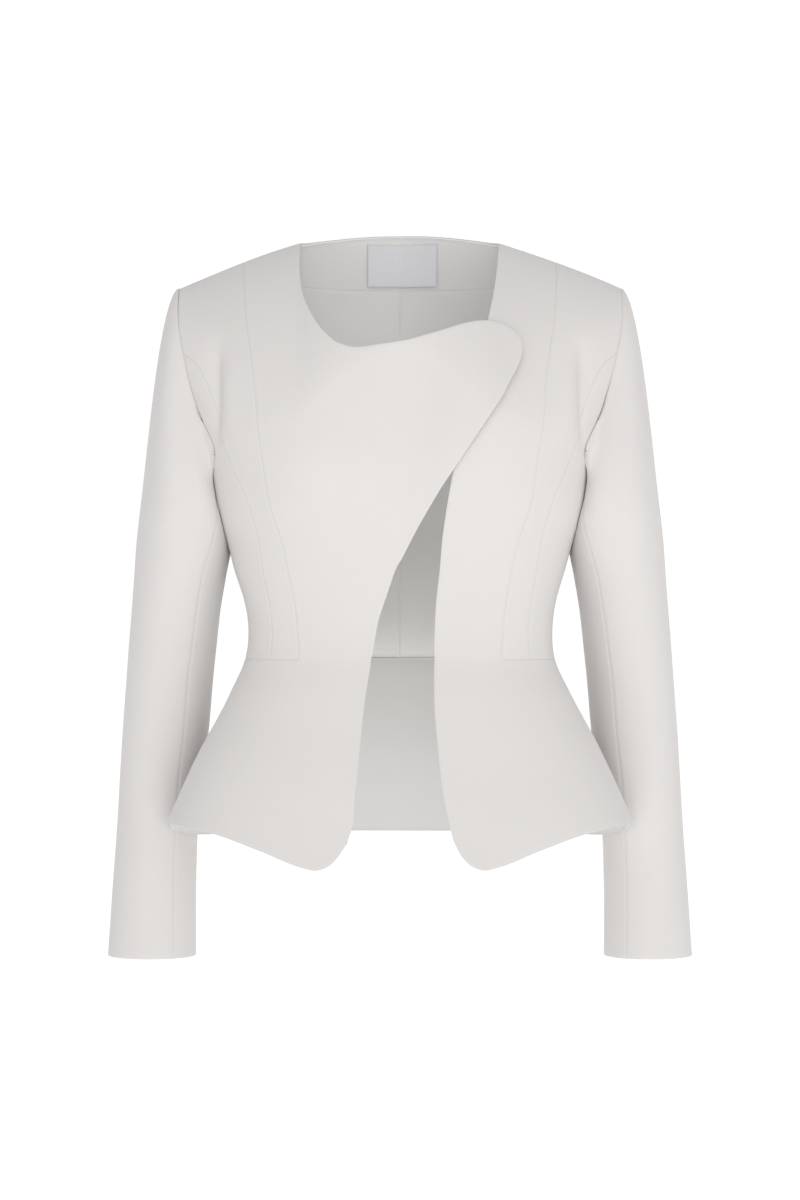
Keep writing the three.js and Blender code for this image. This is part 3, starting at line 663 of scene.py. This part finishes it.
def seamShade(tree, width):
    # 1 in the groove of a seam, falling to 0 within width millimetres; the materials darken their colour with it, as
    # painted shade and as the label's border
    distance = addNode(tree, "ShaderNodeAttribute", {"attribute_name": "seamDistance"}, output=2)
    return addNode(
        tree,
        "ShaderNodeMapRange",
        {"clamp": True, "interpolation_type": "SMOOTHSTEP"},
        {"Value": distance, "From Min": 0.0, "From Max": width, "To Min": 1.0, "To Max": 0.0},
    )


def crepeMaterial(name, settings):
    material, tree, shader = newMaterial(name, settings)
    place = addNode(tree, "ShaderNodeTexCoord", output=3)
    grain = addNode(
        tree,
        "ShaderNodeTexNoise",
        inputs={"Vector": place, "Scale": settings["grainScale"], "Detail": 3.0, "Roughness": 0.62},
    )
    pebble = addNode(
        tree,
        "ShaderNodeTexVoronoi",
        {"feature": "SMOOTH_F1"},
        {"Vector": place, "Scale": settings["pebbleScale"], "Smoothness": 0.6, "Randomness": 1.0},
    )
    cloud = addNode(
        tree,
        "ShaderNodeTexNoise",
        inputs={"Vector": place, "Scale": settings["cloudScale"], "Detail": 2.0, "Roughness": 0.5},
    )
    # painted shade: the colour darkens within 1.3 mm of every seam and cut edge, where shade falls in the grooves and
    # on the turned edges
    groove = seamShade(tree, 1.3)
    tone = grain * settings["grainTone"] + cloud * settings["cloudTone"] - groove * settings["seamAndEdgePaintedShade"]
    colour = addNode(
        tree,
        "ShaderNodeMix",
        {"data_type": "RGBA", "blend_type": "MIX"},
        {
            0: tone - settings["toneMiddle"] + 0.5,
            6: settings["shadeColour"],
            7: settings["lightColour"],
        },
        output=2,
    )
    tree.links.new(colour.socket, shader.inputs["Base Color"])
    height = grain * 0.6 + pebble * 0.4
    bump = addNode(
        tree,
        "ShaderNodeBump",
        inputs={"Strength": settings["bump"], "Distance": settings["bumpDepth"], "Height": height},
    )
    tree.links.new(bump.socket, shader.inputs["Normal"])
    rough = grain * 0.08 + (settings["roughness"] - 0.04)
    tree.links.new(rough.socket, shader.inputs["Roughness"])
    return material


shellCrepe = {
    "roughness": 0.84,
    "sheen": 0.12,
    "specular": 0.25,
    "grainScale": 1100.0,
    "pebbleScale": 1500.0,
    "cloudScale": 9.0,
    "grainTone": 0.5,
    "cloudTone": 0.35,
    # painted shade along seams and cut edges
    "seamAndEdgePaintedShade": 0.35,
    "toneMiddle": 0.42,
    "shadeColour": (0.675, 0.652, 0.638, 1),
    "lightColour": (0.765, 0.744, 0.730, 1),
    "bump": 0.35,
    "bumpDepth": 0.0004,
}
# painted light: a copy of the shell crepe with its colours raised, standing in for light on the shaded facing inside
# the neck
facingCrepePaintedLight = {
    **shellCrepe,
    "cloudTone": 0.25,
    "shadeColour": (0.92, 0.91, 0.895, 1),
    "lightColour": (0.96, 0.95, 0.935, 1),
}
# painted light: the lining is the same off-white as the shell, and its colours are raised far above the shell's to
# stand in for light in the shaded inside of the jacket
liningSatinPaintedLight = {
    **shellCrepe,
    "roughness": 0.5,
    "sheen": 0.05,
    "specular": 0.4,
    "grainScale": 2600.0,
    "pebbleScale": 3000.0,
    "cloudTone": 0.25,
    "grainTone": 0.2,
    "toneMiddle": 0.25,
    "shadeColour": (0.91, 0.9, 0.885, 1),
    "lightColour": (0.96, 0.95, 0.935, 1),
    "bump": 0.12,
    "bumpDepth": 0.0002,
}
# painted shade: a darker copy of the lining for the inside of the back peplum, standing in for the shadow the left
# front casts there
peplumSatinPaintedShade = {
    **liningSatinPaintedLight,
    "shadeColour": (0.66, 0.65, 0.635, 1),
    "lightColour": (0.72, 0.71, 0.695, 1),
}
labelWeave = {
    "roughness": 0.6,
    "sheen": 0.1,
    "specular": 0.35,
    "threadScale": 1500.0,
    # the label's pale bluish white, its brightness raised as painted light for the shaded neck; the darker edge colour
    # is partly a woven border and partly painted shade under the free lower edge
    "colour": (0.92, 0.915, 0.95, 1),
    "borderAndShadeColour": (0.72, 0.72, 0.77, 1),
}


def labelMaterial(name, settings):
    material, tree, shader = newMaterial(name, settings)
    place = addNode(tree, "ShaderNodeTexCoord", output=3)
    ribs = addNode(
        tree,
        "ShaderNodeTexWave",
        {"wave_type": "BANDS", "bands_direction": "Z"},
        {"Vector": place, "Scale": settings["threadScale"] / 6.28, "Distortion": 0.4, "Detail": 1.0},
        output=1,
    )
    # darker within 1.6 mm of all the label's edges: partly a woven border, partly painted shade
    edge = seamShade(tree, 1.6)
    colour = addNode(
        tree,
        "ShaderNodeMix",
        {"data_type": "RGBA"},
        {0: edge * 0.8 + ribs * 0.15, 6: settings["colour"], 7: settings["borderAndShadeColour"]},
        output=2,
    )
    tree.links.new(colour.socket, shader.inputs["Base Color"])
    bump = addNode(tree, "ShaderNodeBump", inputs={"Strength": 0.3, "Distance": 0.0002, "Height": ribs})
    tree.links.new(bump.socket, shader.inputs["Normal"])
    return material


shellCloth = crepeMaterial("shellCrepe", shellCrepe)
facingPaintedLightCloth = crepeMaterial("facingCrepePaintedLight", facingCrepePaintedLight)
liningPaintedLightCloth = crepeMaterial("liningSatinPaintedLight", liningSatinPaintedLight)
peplumPaintedShadeCloth = crepeMaterial("peplumSatinPaintedShade", peplumSatinPaintedShade)
labelCloth = labelMaterial("labelWeave", labelWeave)
print("materials made")

# ---- the cut pieces ----------------------------------------------------------

fineRow, fineColumn = 5, 4

wrapFront = {"liftStart": 42, "liftFirst": 3.5, "liftSecond": 5.0, "liftReach": 60}


def liftOverLeft(point):
    # the wrap rises off the left front before it crosses that front's edge
    x, z = point[:, 0], point[:, 2]
    edge = readSmooth([row[1] for row in leftEdgeRows], [row[0] for row in leftEdgeRows], z)
    first = easeStep((x - edge + wrapFront["liftStart"]) / wrapFront["liftStart"])
    second = easeStep((x - edge) / wrapFront["liftReach"])
    rise = wrapFront["liftFirst"] * first + wrapFront["liftSecond"] * second
    return np.where((z < waistLevel) | (z > 0), 0.0, rise)


# Soft folds of the body: ends, width and depth; a negative depth stands out.
foldColumns = ("face", "fromX", "fromZ", "toX", "toZ", "width", "depth")
bodyFolds = [
    (-1, 158, -62, 159, -178, 8, 2.4),
    (-1, 156.5, -70, 158.5, -176, 2.6, 3.0),
    (-1, 147, -88, 147, -158, 8, -0.9),
    (-1, 128, -196, 117, -262, 9, 0.7),
    (1, 150, -96, 132, -188, 11, 1.3),
    (1, 96, -300, 58, -335, 8, 0.9),
    (1, 40, -318, 84, -346, 7, 0.7),
]
# Slow waves of the hanging cloth: direction, length, height and shift.
bodyWaves = [(0.9, 0.35, 118, 0.35, 0.4), (0.55, -0.8, 163, 0.4, 2.1), (0.2, 1.0, 87, 0.25, 4.0)]


def foldedCloth(point):
    x, y, z = point[:, 0], point[:, 1], point[:, 2]
    rise = np.zeros(len(x))
    for face, fromX, fromZ, toX, toZ, width, depth in bodyFolds:
        alongX, alongZ = toX - fromX, toZ - fromZ
        length = math.hypot(alongX, alongZ)
        share = ((np.abs(x) - fromX) * alongX + (z - fromZ) * alongZ) / length**2
        aside = ((np.abs(x) - fromX) * alongZ - (z - fromZ) * alongX) / length
        ends = easeStep(share / 0.3) * easeStep((1 - share) / 0.4)
        rise -= np.where(y * face > 0, depth * bell(aside, width) * ends, 0)
    for towardX, towardZ, length, height, shift in bodyWaves:
        rise += height * np.sin((x * towardX + z * towardZ) * 2 * math.pi / length + shift)
    return rise


def makeShell(name, node, patches, sheet, lift=None):
    bm = bmesh.new()
    for net, columns, rows in patches:
        addPatch(bm, net, columns, rows, onBody(lift=lift, folds=foldedCloth))
    return finishCloth(
        name, bm, node, shellCloth, clothFinish["shell"], clothFinish["seamDip"], sheet
    )


chestMiddle = (0, 0, -250)


def rightFront():
    strapEdge = cutLine(rightStrapRows, -1, 1.3)
    neckEdge = cutLine(rightNeckRows, -1)
    wrapEdge = cutLine(rightWrapRows, -1, 1.25)
    peplumEdge = cutLine(rightPeplumRows, -1)
    rightPrincess = mirrored(princess)
    strapShare = steps["strap"] / steps["princess"]
    shoulder = mirrored(shoulderLine(neckX, princessX, -1))
    strapFoot = straightLine(end(strapEdge, 1), end(rightPrincess, strapShare))
    strap = fillNet(shoulder, strapFoot, strapEdge, part(rightPrincess, 0, strapShare))
    # the neckline is divided more closely towards the tip of the wing
    neckFromTip = lambda share: neckEdge(1 - np.asarray(share, float) ** 1.5)
    inner = steps["shoulderInner"]
    mainTop = joined((neckFromTip, steps["wing"]), (strapFoot, inner))
    mainSteps = steps["wing"] + inner
    waist = straightLine(end(wrapEdge, 1), end(rightPrincess, 1))
    main = fillNet(mainTop, waist, wrapEdge, part(rightPrincess, strapShare, 1))
    fullWaist = joined((waist, mainSteps), (mirrored(waistInner), waistSteps[0]), (mirrored(waistOuter), waistSteps[1]))
    hem = mirrored(cutLine([(44.6, -502.1), *hemRows], -1, 1.4))
    peplum = fillNet(fullWaist, hem, peplumEdge, mirrored(peplumSide))
    strapColumns = cuts(inner, fineColumn, True, True)
    wingColumns = cuts(steps["wing"], fineColumn + 1, True, False)
    mainColumns = chain((steps["wing"], wingColumns), (inner, strapColumns))
    sideColumns = cuts(sum(waistSteps), fineColumn, False, True)
    strapRows = cuts(steps["strap"], fineRow, True, False)
    mainRows = cuts(steps["princess"] - steps["strap"], fineRow + 2, True, False)
    peplumRows = cuts(steps["peplum"], fineRow, True, True)
    patches = [
        (strap, strapColumns, strapRows),
        (main, mainColumns, mainRows),
        (peplum, chain((mainSteps, mainColumns), (sum(waistSteps), sideColumns)), peplumRows),
    ]
    sheet = {"flat": (0.34, 0.56), "area": 0.09, "held": "draped", "restsOn": ["left_front"], "inside": chestMiddle}
    return makeShell("rightFrontCloth", "right_front", patches, sheet, liftOverLeft)


def leftFront():
    edge = cutLine(leftEdgeRows, -1, 1.3)
    inner = steps["shoulderInner"]
    waist = straightLine(end(edge, 1), end(princess, 1))
    body = fillNet(shoulderLine(neckX, princessX, -1), waist, edge, princess)
    fullWaist = joined((waist, inner), (waistInner, waistSteps[0]), (waistOuter, waistSteps[1]))
    hem = cutLine([leftPeplumRows[-1], *hemRows], -1, 1.5)
    peplum = fillNet(fullWaist, hem, cutLine(leftPeplumRows, -1), peplumSide)
    bodyColumns = cuts(inner, fineColumn, True, True)
    sideColumns = cuts(sum(waistSteps), fineColumn, False, True)
    patches = [
        (body, bodyColumns, cuts(steps["princess"], fineRow, True, False)),
        (peplum, chain((inner, bodyColumns), (sum(waistSteps), sideColumns)), cuts(steps["peplum"], fineRow, True, True)),
    ]
    sheet = {"flat": (0.24, 0.56), "area": 0.065, "held": "draped", "restsOn": ["left_side_front"], "inside": chestMiddle}
    return makeShell("leftFrontCloth", "left_front", patches, sheet)


def sideFront(side):
    net = fillNet(
        shoulderLine(princessX, tipX, -1),
        waistInner,
        princess,
        joined((armholeTop, steps["armholeTop"]), (sidePanelSeam, steps["armholeFront"] + steps["side"])),
    )
    columns = cuts(steps["shoulderOuter"], fineColumn, True, True)
    rows = cuts(steps["princess"], fineRow, True, True)
    sheet = {"flat": (0.08, 0.37), "area": 0.017, "held": "draped", "restsOn": [f"{side}_front"], "inside": chestMiddle}
    return makeShell(f"{side}SideFrontCloth", f"{side}_side_front", [(halfNet(net, side), columns, rows)], sheet)


def halfNet(net, side):
    if side == "left":
        return net

    def other(u, v):
        angle, z = net(u, v)
        return -180 - angle, z

    return other


def sidePanel(side):
    strip = steps["panelStrip"]
    stripFoot = straightLine(end(sidePanelSeam, panelSplit), end(armholeFront, 1))
    tip = straightLine(end(sidePanelSeam, 0), end(sidePanelSeam, 0))
    upper = fillNet(tip, stripFoot, part(sidePanelSeam, 0, panelSplit), armholeFront)
    top = joined((stripFoot, strip), (underFront, steps["underarm"]))
    lower = fillNet(top, waistOuter, part(sidePanelSeam, panelSplit, 1), sideSeam)
    stripColumns = cuts(strip, fineColumn, True, True)
    underColumns = cuts(steps["underarm"], fineColumn + 1, False, True)
    patches = [
        (halfNet(upper, side), stripColumns, cuts(steps["armholeFront"], fineRow, False, False)),
        (
            halfNet(lower, side),
            chain((strip, stripColumns), (steps["underarm"], underColumns)),
            cuts(steps["side"], fineRow, True, True),
        ),
    ]
    sheet = {"flat": (0.085, 0.28), "area": 0.017, "held": "draped", "restsOn": [f"{side}_side_front"], "inside": chestMiddle}
    return makeShell(f"{side}SidePanelCloth", f"{side}_side_panel", patches, sheet)


def backNets():
    rise, footZ, footX = backCut["neckRise"], backCut["facingFoot"], backCut["facingHalf"]

    def neck(share):
        x = neckX * np.asarray(share, float)
        z = bodyForm["neckZ"] + rise * (1 - (x / neckX) ** 2)
        return angleAt(x, z, 1), z

    def foot(share):
        x = footX * np.asarray(share, float)
        z = np.full_like(x, float(footZ))
        return angleAt(x, z, 1), z

    inner, outer, half = steps["shoulderInner"], steps["shoulderOuter"], steps["neckHalf"]
    splitX = neckX + (princessX - neckX) / inner
    shoulderFirst = shoulderLine(neckX, splitX, 1)
    shoulderRest = joined((shoulderLine(splitX, princessX, 1), inner - 1), (shoulderLine(princessX, tipX, 1), outer))
    split = half + 1
    restSteps = inner - 1 + outer
    waistAll = split + restSteps + steps["underarm"]
    middleWaist = (centreBackAngle, waistLevel)
    waist = straightLine(middleWaist, sideWaist)
    splitWaist = end(waist, split / waistAll)
    lowRows = steps["armholeBack"] + steps["side"] - steps["facing"]
    chestRows = steps["armholeBack"] - steps["facing"]
    corner = end(foot, 1)
    facingSide = cutLine([(splitX, float(shoulderHeight(splitX))), (footX, footZ)], 1)
    column = straightLine(corner, splitWaist)
    top = joined((neck, half), (shoulderFirst, 1))
    middleTop = straightLine(end(neck, 0), end(foot, 0))
    middleLow = straightLine(end(foot, 0), middleWaist)
    chestFoot = straightLine(end(column, chestRows / lowRows), end(armholeBack, 1))
    chestSide = joined((facingSide, steps["facing"]), (part(column, 0, chestRows / lowRows), chestRows))
    underTop = joined((chestFoot, restSteps), (underBack, steps["underarm"]))
    return {
        "facing": fillNet(top, foot, middleTop, facingSide),
        "low": fillNet(foot, part(waist, 0, split / waistAll), middleLow, column),
        "chest": fillNet(shoulderRest, chestFoot, chestSide, armholeBack),
        "side": fillNet(underTop, part(waist, split / waistAll, 1), part(column, chestRows / lowRows, 1), sideSeam),
        "waist": waist,
        "split": split,
        "rest": restSteps,
        "lowRows": lowRows,
        "chestRows": chestRows,
    }


back = backNets()


def backPatches(side, names):
    split, rest = back["split"], back["rest"]
    middleColumns = cuts(split, fineColumn, True, False)
    restColumns = cuts(rest, fineColumn, False, True)
    underColumns = cuts(steps["underarm"], fineColumn, False, True)
    facingRows = cuts(steps["facing"], fineRow, True, False)
    lowRows = cuts(back["lowRows"], fineRow, False, True)
    chestRows = chain((steps["facing"], facingRows), (back["chestRows"], cuts(back["chestRows"], fineRow)))
    sideRows = cuts(steps["side"], fineRow, False, True)
    table = {
        "facing": (middleColumns, facingRows),
        "low": (middleColumns, lowRows),
        "chest": (restColumns, chestRows),
        "side": (chain((rest, restColumns), (steps["underarm"], underColumns)), sideRows),
    }
    return [(halfNet(back[name], side), *table[name]) for name in names]


def backPanel(side):
    sheet = {"flat": (0.23, 0.41), "area": 0.075, "held": "draped", "restsOn": [f"{side}_side_panel"], "inside": chestMiddle}
    return makeShell(f"{side}BackCloth", f"{side}_back", backPatches(side, ("facing", "low", "chest", "side")), sheet)


def peplumNet(side):
    def hem(share):
        angle, z = back["waist"](share)
        side_, middle = backCut["hemSide"], backCut["hemMiddle"]
        return angle, middle + (side_ - middle) * np.asarray(share, float) ** backCut["hemTurn"]

    net = fillNet(back["waist"], hem, straightLine(end(back["waist"], 0), end(hem, 0)), peplumSide)
    return halfNet(net, side)


def peplumPatches():
    columns = cuts(back["split"] + back["rest"] + steps["underarm"], fineColumn, False, True)
    rows = cuts(steps["peplum"], fineRow, True, True)
    return [(peplumNet(side), columns, rows) for side in ("left", "right")]


def backPeplum():
    sheet = {"flat": (0.6, 0.2), "area": 0.08, "held": "draped", "restsOn": ["left_back", "right_back"], "inside": (0, 0, -420)}
    return makeShell("backPeplumCloth", "back_peplum", peplumPatches(), sheet)


rightFront()
leftFront()
for sideName in ("left", "right"):
    sideFront(sideName)
    sidePanel(sideName)
    backPanel(sideName)
backPeplum()
print("body cloth made")

# ---- linings, facing and label -------------------------------------------------

liningCut = {"inside": 1.9, "facing": 1.0, "label": 0.5}


def makeLining(name, node, patches, material, thickness, sheet):
    bm = bmesh.new()
    for net, columns, rows in patches:
        addPatch(bm, net, columns, rows, onBody(depth=liningCut["inside"], folds=foldedCloth))
    return finishCloth(name, bm, node, material, thickness, 0.3, sheet)


for sideName in ("left", "right"):
    makeLining(
        f"{sideName}BackLining",
        f"{sideName}_back_lining",
        backPatches(sideName, ("low", "chest", "side")),
        liningPaintedLightCloth,
        clothFinish["lining"],
        {"flat": (0.23, 0.38), "area": 0.07, "held": "draped", "restsOn": [f"{sideName}_back"], "inside": chestMiddle},
    )
makeLining(
    "peplumLining",
    "peplum_lining",
    peplumPatches(),
    peplumPaintedShadeCloth,
    clothFinish["lining"],
    {"flat": (0.6, 0.2), "area": 0.08, "held": "draped", "restsOn": ["back_peplum"], "inside": (0, 0, -420)},
)
makeLining(
    "backNeckFacing",
    "back_neck_facing",
    backPatches("left", ("facing",)) + backPatches("right", ("facing",)),
    facingPaintedLightCloth,
    liningCut["facing"],
    {"flat": (0.25, 0.06), "area": 0.012, "held": "draped", "restsOn": ["left_back", "right_back"], "inside": (0, -40, -20)},
)

neckLabel = {"fromX": -30.5, "toX": 34.6, "top": 23.0, "bottom": -13.0, "off": 3.4, "belly": 0.8}


def label():
    # a plain folded tape, sewn along its top, its lower edge standing free
    def place(net, u, v):
        x = neckLabel["fromX"] + (neckLabel["toX"] - neckLabel["fromX"]) * u
        z = neckLabel["top"] + (neckLabel["bottom"] - neckLabel["top"]) * v
        angle = angleAt(x, z, 1)
        point, outward = bodyPoint(angle, z), bodyOutward(angle, z)
        off = neckLabel["off"] + neckLabel["belly"] * v**2
        return point - outward * (off - foldedCloth(point))[:, None]

    bm = bmesh.new()
    addPatch(bm, None, cuts(4, 6, True, True), cuts(3, 6, True, True), place)
    sheet = {"flat": (0.07, 0.039), "area": 0.0027, "held": "hung", "restsOn": ["back_neck_facing"], "inside": (0, -40, 0)}
    return finishCloth("neckLabel", bm, "neck_label", labelCloth, liningCut["label"], 0.0, sheet)


label()
print("linings made")

# ---- sleeves -------------------------------------------------------------------

sleeveColumns = ("z", "outer", "inner", "middle", "deep", "roundInner")
sleeveRings = [
    (-200, 226.5, 157, 3, 66, 3.8),
    (-215, 228.5, 153, 6, 68, 3.7),
    (-230, 230.5, 149, 9, 68, 3.4),
    (-245, 232.4, 148.5, 12, 65, 3.0),
    (-276, 235.1, 154, 19, 62, 2.5),
    (-306, 238, 159.4, 27, 57, 2.4),
    (-335, 241, 163, 35, 55, 2.4),
    (-364, 243.6, 166.4, 42, 53, 2.3),
    (-418, 248.7, 171.9, 57, 50, 2.3),
    (-457, 252, 177.5, 69, 48, 2.2),
    (-496, 255, 182, 79, 46, 2.2),
    (-560, 260.3, 184.7, 87, 43.5, 2.1),
    (-619, 264.7, 185, 92, 42.5, 2.1),
]
sleeveCut = {
    "roundOuter": 2.0,
    "clear": 0.4,
    "soften": 0.7,
    "roundBack": 2.15,
    "headSteps": 7,
    "crowd": 0.6,
    "puff": 0.27,
    "fall": 0.8,
    "leaveUnder": 92,
    "leaveOver": 12,
    "fallFrom": 0.35,
    "fallTo": 0.75,
    "gap": 0.08,
    "holeMiddle": (190, 5, -105),
}
seamTurns = [(-200, 146), (-245, 124), (-306, 119), (-619, 122)]


def readSleeve(column, z):
    at = sleeveColumns.index(column)
    return readSmooth([ring[0] for ring in sleeveRings], [ring[at] for ring in sleeveRings], z)


def sleeveRing(z, turn):
    outer, inner = readSleeve("outer", z), readSleeve("inner", z)
    across, along = np.cos(np.radians(turn)), np.sin(np.radians(turn))
    frontRound = np.where(across < 0, readSleeve("roundInner", z), sleeveCut["roundOuter"])
    power = 2 / np.where(along > 0, frontRound, sleeveCut["roundBack"])
    x = (outer + inner) / 2 + (outer - inner) / 2 * np.sign(across) * np.abs(across) ** power
    y = readSleeve("middle", z) - readSleeve("deep", z) * np.sign(along) * np.abs(along) ** power
    return np.stack([x, y, z], axis=-1)


holePieces = (
    (turned(underFront), steps["underarm"]),
    (turned(armholeFront), steps["armholeFront"]),
    (turned(armholeTop), steps["armholeTop"]),
    (armholeBack, steps["armholeBack"]),
    (underBack, steps["underarm"]),
)
holeSteps = sum(count for _, count in holePieces)
armhole = joined(*holePieces)


def sleeveTurn(column, z):
    seam = readSmooth([row[0] for row in seamTurns], [row[1] for row in seamTurns], z)
    fromUnder = np.minimum(column, holeSteps - column)
    sign = np.where(column <= holeSteps / 2, 1, -1)
    under = 180 + (seam - 180) * fromUnder / steps["underarm"]
    over = seam * (1 - (fromUnder - steps["underarm"]) / (holeSteps / 2 - steps["underarm"]))
    return sign * np.where(fromUnder <= steps["underarm"], under, over)


def armholeStart(column):
    share = np.mod(column, holeSteps) / holeSteps
    angle, z = armhole(share)
    here = bodyPoint(angle, z)
    outward = bodyOutward(angle, z)
    step = 1 / holeSteps
    after = bodyPoint(*armhole(np.mod(share + step, 1)))
    before = bodyPoint(*armhole(np.mod(share - step, 1)))
    away = unit(np.cross(unit(after - before), outward))
    toMiddle = np.array(sleeveCut["holeMiddle"]) - here
    away = away * np.sign(np.sum(away * toMiddle, axis=-1, keepdims=True))
    lowest = end(underFront, 1)[1]
    highest = float(shoulderHeight(np.array(float(tipX))))
    rise = np.maximum((z - lowest) / (highest - lowest), 0)
    tilt = sleeveCut["leaveUnder"] + (sleeveCut["leaveOver"] - sleeveCut["leaveUnder"]) * rise**0.8
    tilt = np.radians(tilt)[:, None]
    direction = unit(away * np.cos(tilt) + outward * np.sin(tilt))
    return here + direction * sleeveCut["gap"], direction, rise


def sleevePoint(column, down):
    # down counts the rows of the sleeve: the head first, then its rings
    start, direction, rise = armholeStart(column)
    first = np.full_like(column, float(sleeveRings[0][0]))
    turn = sleeveTurn(column, first)
    join, below = sleeveRing(first, turn), sleeveRing(first - 5, turn)
    reach = np.linalg.norm(join - start, axis=-1, keepdims=True)
    low = 1 - easeStep((rise - sleeveCut["fallFrom"]) / (sleeveCut["fallTo"] - sleeveCut["fallFrom"]))[:, None]
    leave = unit(direction * (1 - low) + unit(join - start) * low) * reach * sleeveCut["puff"]
    arrive = unit(below - join) * reach * sleeveCut["fall"]
    share = np.clip(down / sleeveCut["headSteps"], 0, 1)
    share = share - sleeveCut["crowd"] * rise * share * (1 - share)
    t = share[:, None]
    square, cube = t * t, t * t * t
    head = (
        (2 * cube - 3 * square + 1) * start
        + (cube - 2 * square + t) * leave
        + (3 * square - 2 * cube) * join
        + (cube - square) * arrive
    )
    ringAt = np.clip(down - sleeveCut["headSteps"], 0, len(sleeveRings) - 1)
    z = np.interp(ringAt, np.arange(len(sleeveRings)), [ring[0] for ring in sleeveRings])
    tube = sleeveRing(z, sleeveTurn(column, z))
    point = np.where((down <= sleeveCut["headSteps"])[:, None], head, tube)
    return clearOfBody(point, np.linalg.norm(point - start, axis=-1))


def clearOfBody(point, reach):
    # below the armhole the sleeve lies against the body, and follows it
    x, y, z = point[:, 0], point[:, 1], point[:, 2]
    side = readRings("side", z)
    face = np.where(y < side, -1, 1)
    roundness = np.where(face < 0, readRings("roundFront", z), readRings("roundBack", z))
    depth = np.where(face < 0, readRings("front", z) + side, readRings("back", z) - side)
    along = np.maximum(np.abs(y - side) / depth, 1e-6) ** (roundness / 2)
    across = np.maximum(x / readRings("half", z), 1e-6) ** (roundness / 2)
    angle = np.degrees(np.arctan2(along, across)) * face
    near, outward = bodyPoint(angle, z), bodyOutward(angle, z)
    short = np.minimum(sleeveCut["clear"], reach * 0.06) - np.sum((point - near) * outward, axis=-1)
    soft = np.minimum(sleeveCut["soften"], reach * 0.05) + 1e-6
    push = 0.5 * (short + np.sqrt(short**2 + soft**2)) * easeStep((z + 330) / 40) * easeStep((-160 - z) / 12)
    return point + outward * push[:, None]


def sleeve(side, partName, firstColumn, lastColumn, sheet):
    rowCount = sleeveCut["headSteps"] + len(sleeveRings) - 1
    flip = np.array([1 if side == "left" else -1, 1, 1])

    def place(net, u, v):
        column = np.mod(firstColumn + (lastColumn - firstColumn) * u, holeSteps)
        return sleevePoint(column, rowCount * v) * flip

    bm = bmesh.new()
    columns = cuts(lastColumn - firstColumn, fineColumn, True, True)
    rows = cuts(rowCount, fineRow + 1, True, True)
    addPatch(bm, None, columns, rows, place)
    name = f"{side}{partName.capitalize()}SleeveCloth"
    node = f"{side}_{partName}_sleeve"
    wall, dip = clothFinish["shell"], clothFinish["seamDip"]
    return finishCloth(name, bm, node, shellCloth, wall, dip, sheet)


sleeveMiddle = {"left": (212, 45, -400), "right": (-212, 45, -400)}
for sideName in ("left", "right"):
    under = steps["underarm"]
    topSheet = {"flat": (0.27, 0.62), "area": 0.107, "held": "draped", "restsOn": [f"{sideName}_side_front"]}
    sleeve(sideName, "top", under, holeSteps - under, {**topSheet, "inside": sleeveMiddle[sideName]})
    underSheet = {"flat": (0.1, 0.46), "area": 0.045, "held": "draped", "restsOn": [f"{sideName}_top_sleeve"]}
    sleeve(sideName, "under", -under, under, {**underSheet, "inside": sleeveMiddle[sideName]})
print("sleeves made")

# ---- stage, light and camera -----------------------------------------------------

studio = {
    "pixelSize": 0.88,
    "distance": 3000,
    "middleZ": -297.4,
    "frameHeight": 1200,
    "floorZ": -1.05,
    "world": 0.54,
    "keyPower": 24.0,
    "topPower": 24.0,
}


def stageSweep():
    # a floor that curves up into a wall far behind
    bm = bmesh.new()
    bmesh.ops.create_grid(bm, x_segments=1, y_segments=40, size=1)
    for vert in bm.verts:
        share = (vert.co.y + 1) / 2
        vert.co.x *= 14
        run = share * 24 - 8
        bend = min(max(run - 5, 0) / 4, math.pi / 2)
        beyond = max(run - 5 - 4 * math.pi / 2, 0)
        vert.co.y = min(run, 5) + 4 * math.sin(bend)
        vert.co.z = studio["floorZ"] + 4 * (1 - math.cos(bend)) + beyond
    mesh = bpy.data.meshes.new("stageSweep")
    bm.to_mesh(mesh)
    bm.free()
    mesh.shade_smooth()
    sweep = bpy.data.objects.new("stageSweep", mesh)
    bpy.context.scene.collection.objects.link(sweep)
    material = bpy.data.materials.new("palePaper")
    material.use_nodes = True
    shader = material.node_tree.nodes["Principled BSDF"]
    shader.inputs["Base Color"].default_value = (0.9, 0.9, 0.9, 1)
    shader.inputs["Roughness"].default_value = 1.0
    shader.inputs["Specular IOR Level"].default_value = 0.0
    shader.inputs["Emission Color"].default_value = (1, 1, 1, 1)
    shader.inputs["Emission Strength"].default_value = 0.45
    mesh.materials.append(material)


def softLight(name, place, aim, size, power):
    lamp = bpy.data.lights.new(name, "AREA")
    lamp.shape = "RECTANGLE"
    lamp.size, lamp.size_y = size
    lamp.energy = power
    holder = bpy.data.objects.new(name, lamp)
    holder.location = place
    holder.rotation_euler = (Vector(aim) - Vector(place)).to_track_quat("-Z", "Y").to_euler()
    bpy.context.scene.collection.objects.link(holder)


stageSweep()
softLight("keyLight", (0.8, -3.6, 0.1), (0, 0, -0.3), (3.0, 1.2), studio["keyPower"])
softLight("topLight", (0.2, -2.6, 2.0), (0, 0, -0.3), (4.0, 2.0), studio["topPower"])
world = bpy.data.worlds.new("studio")
bpy.context.scene.world = world
world.use_nodes = True
world.node_tree.nodes["Background"].inputs["Color"].default_value = (1, 1, 1, 1)
world.node_tree.nodes["Background"].inputs["Strength"].default_value = studio["world"]
bpy.context.scene.view_settings.view_transform = "Standard"

camera = bpy.data.cameras.new("camera")
camera.sensor_width = 36
camera.lens = 36 * studio["distance"] / (studio["frameHeight"] * studio["pixelSize"])
camera.clip_end = 100
cameraHolder = bpy.data.objects.new("camera", camera)
cameraHolder.location = (0, -studio["distance"] * metre, studio["middleZ"] * metre)
cameraHolder.rotation_euler = (math.radians(90), 0, 0)
bpy.context.scene.collection.objects.link(cameraHolder)
bpy.context.scene.camera = cameraHolder
print("stage made")
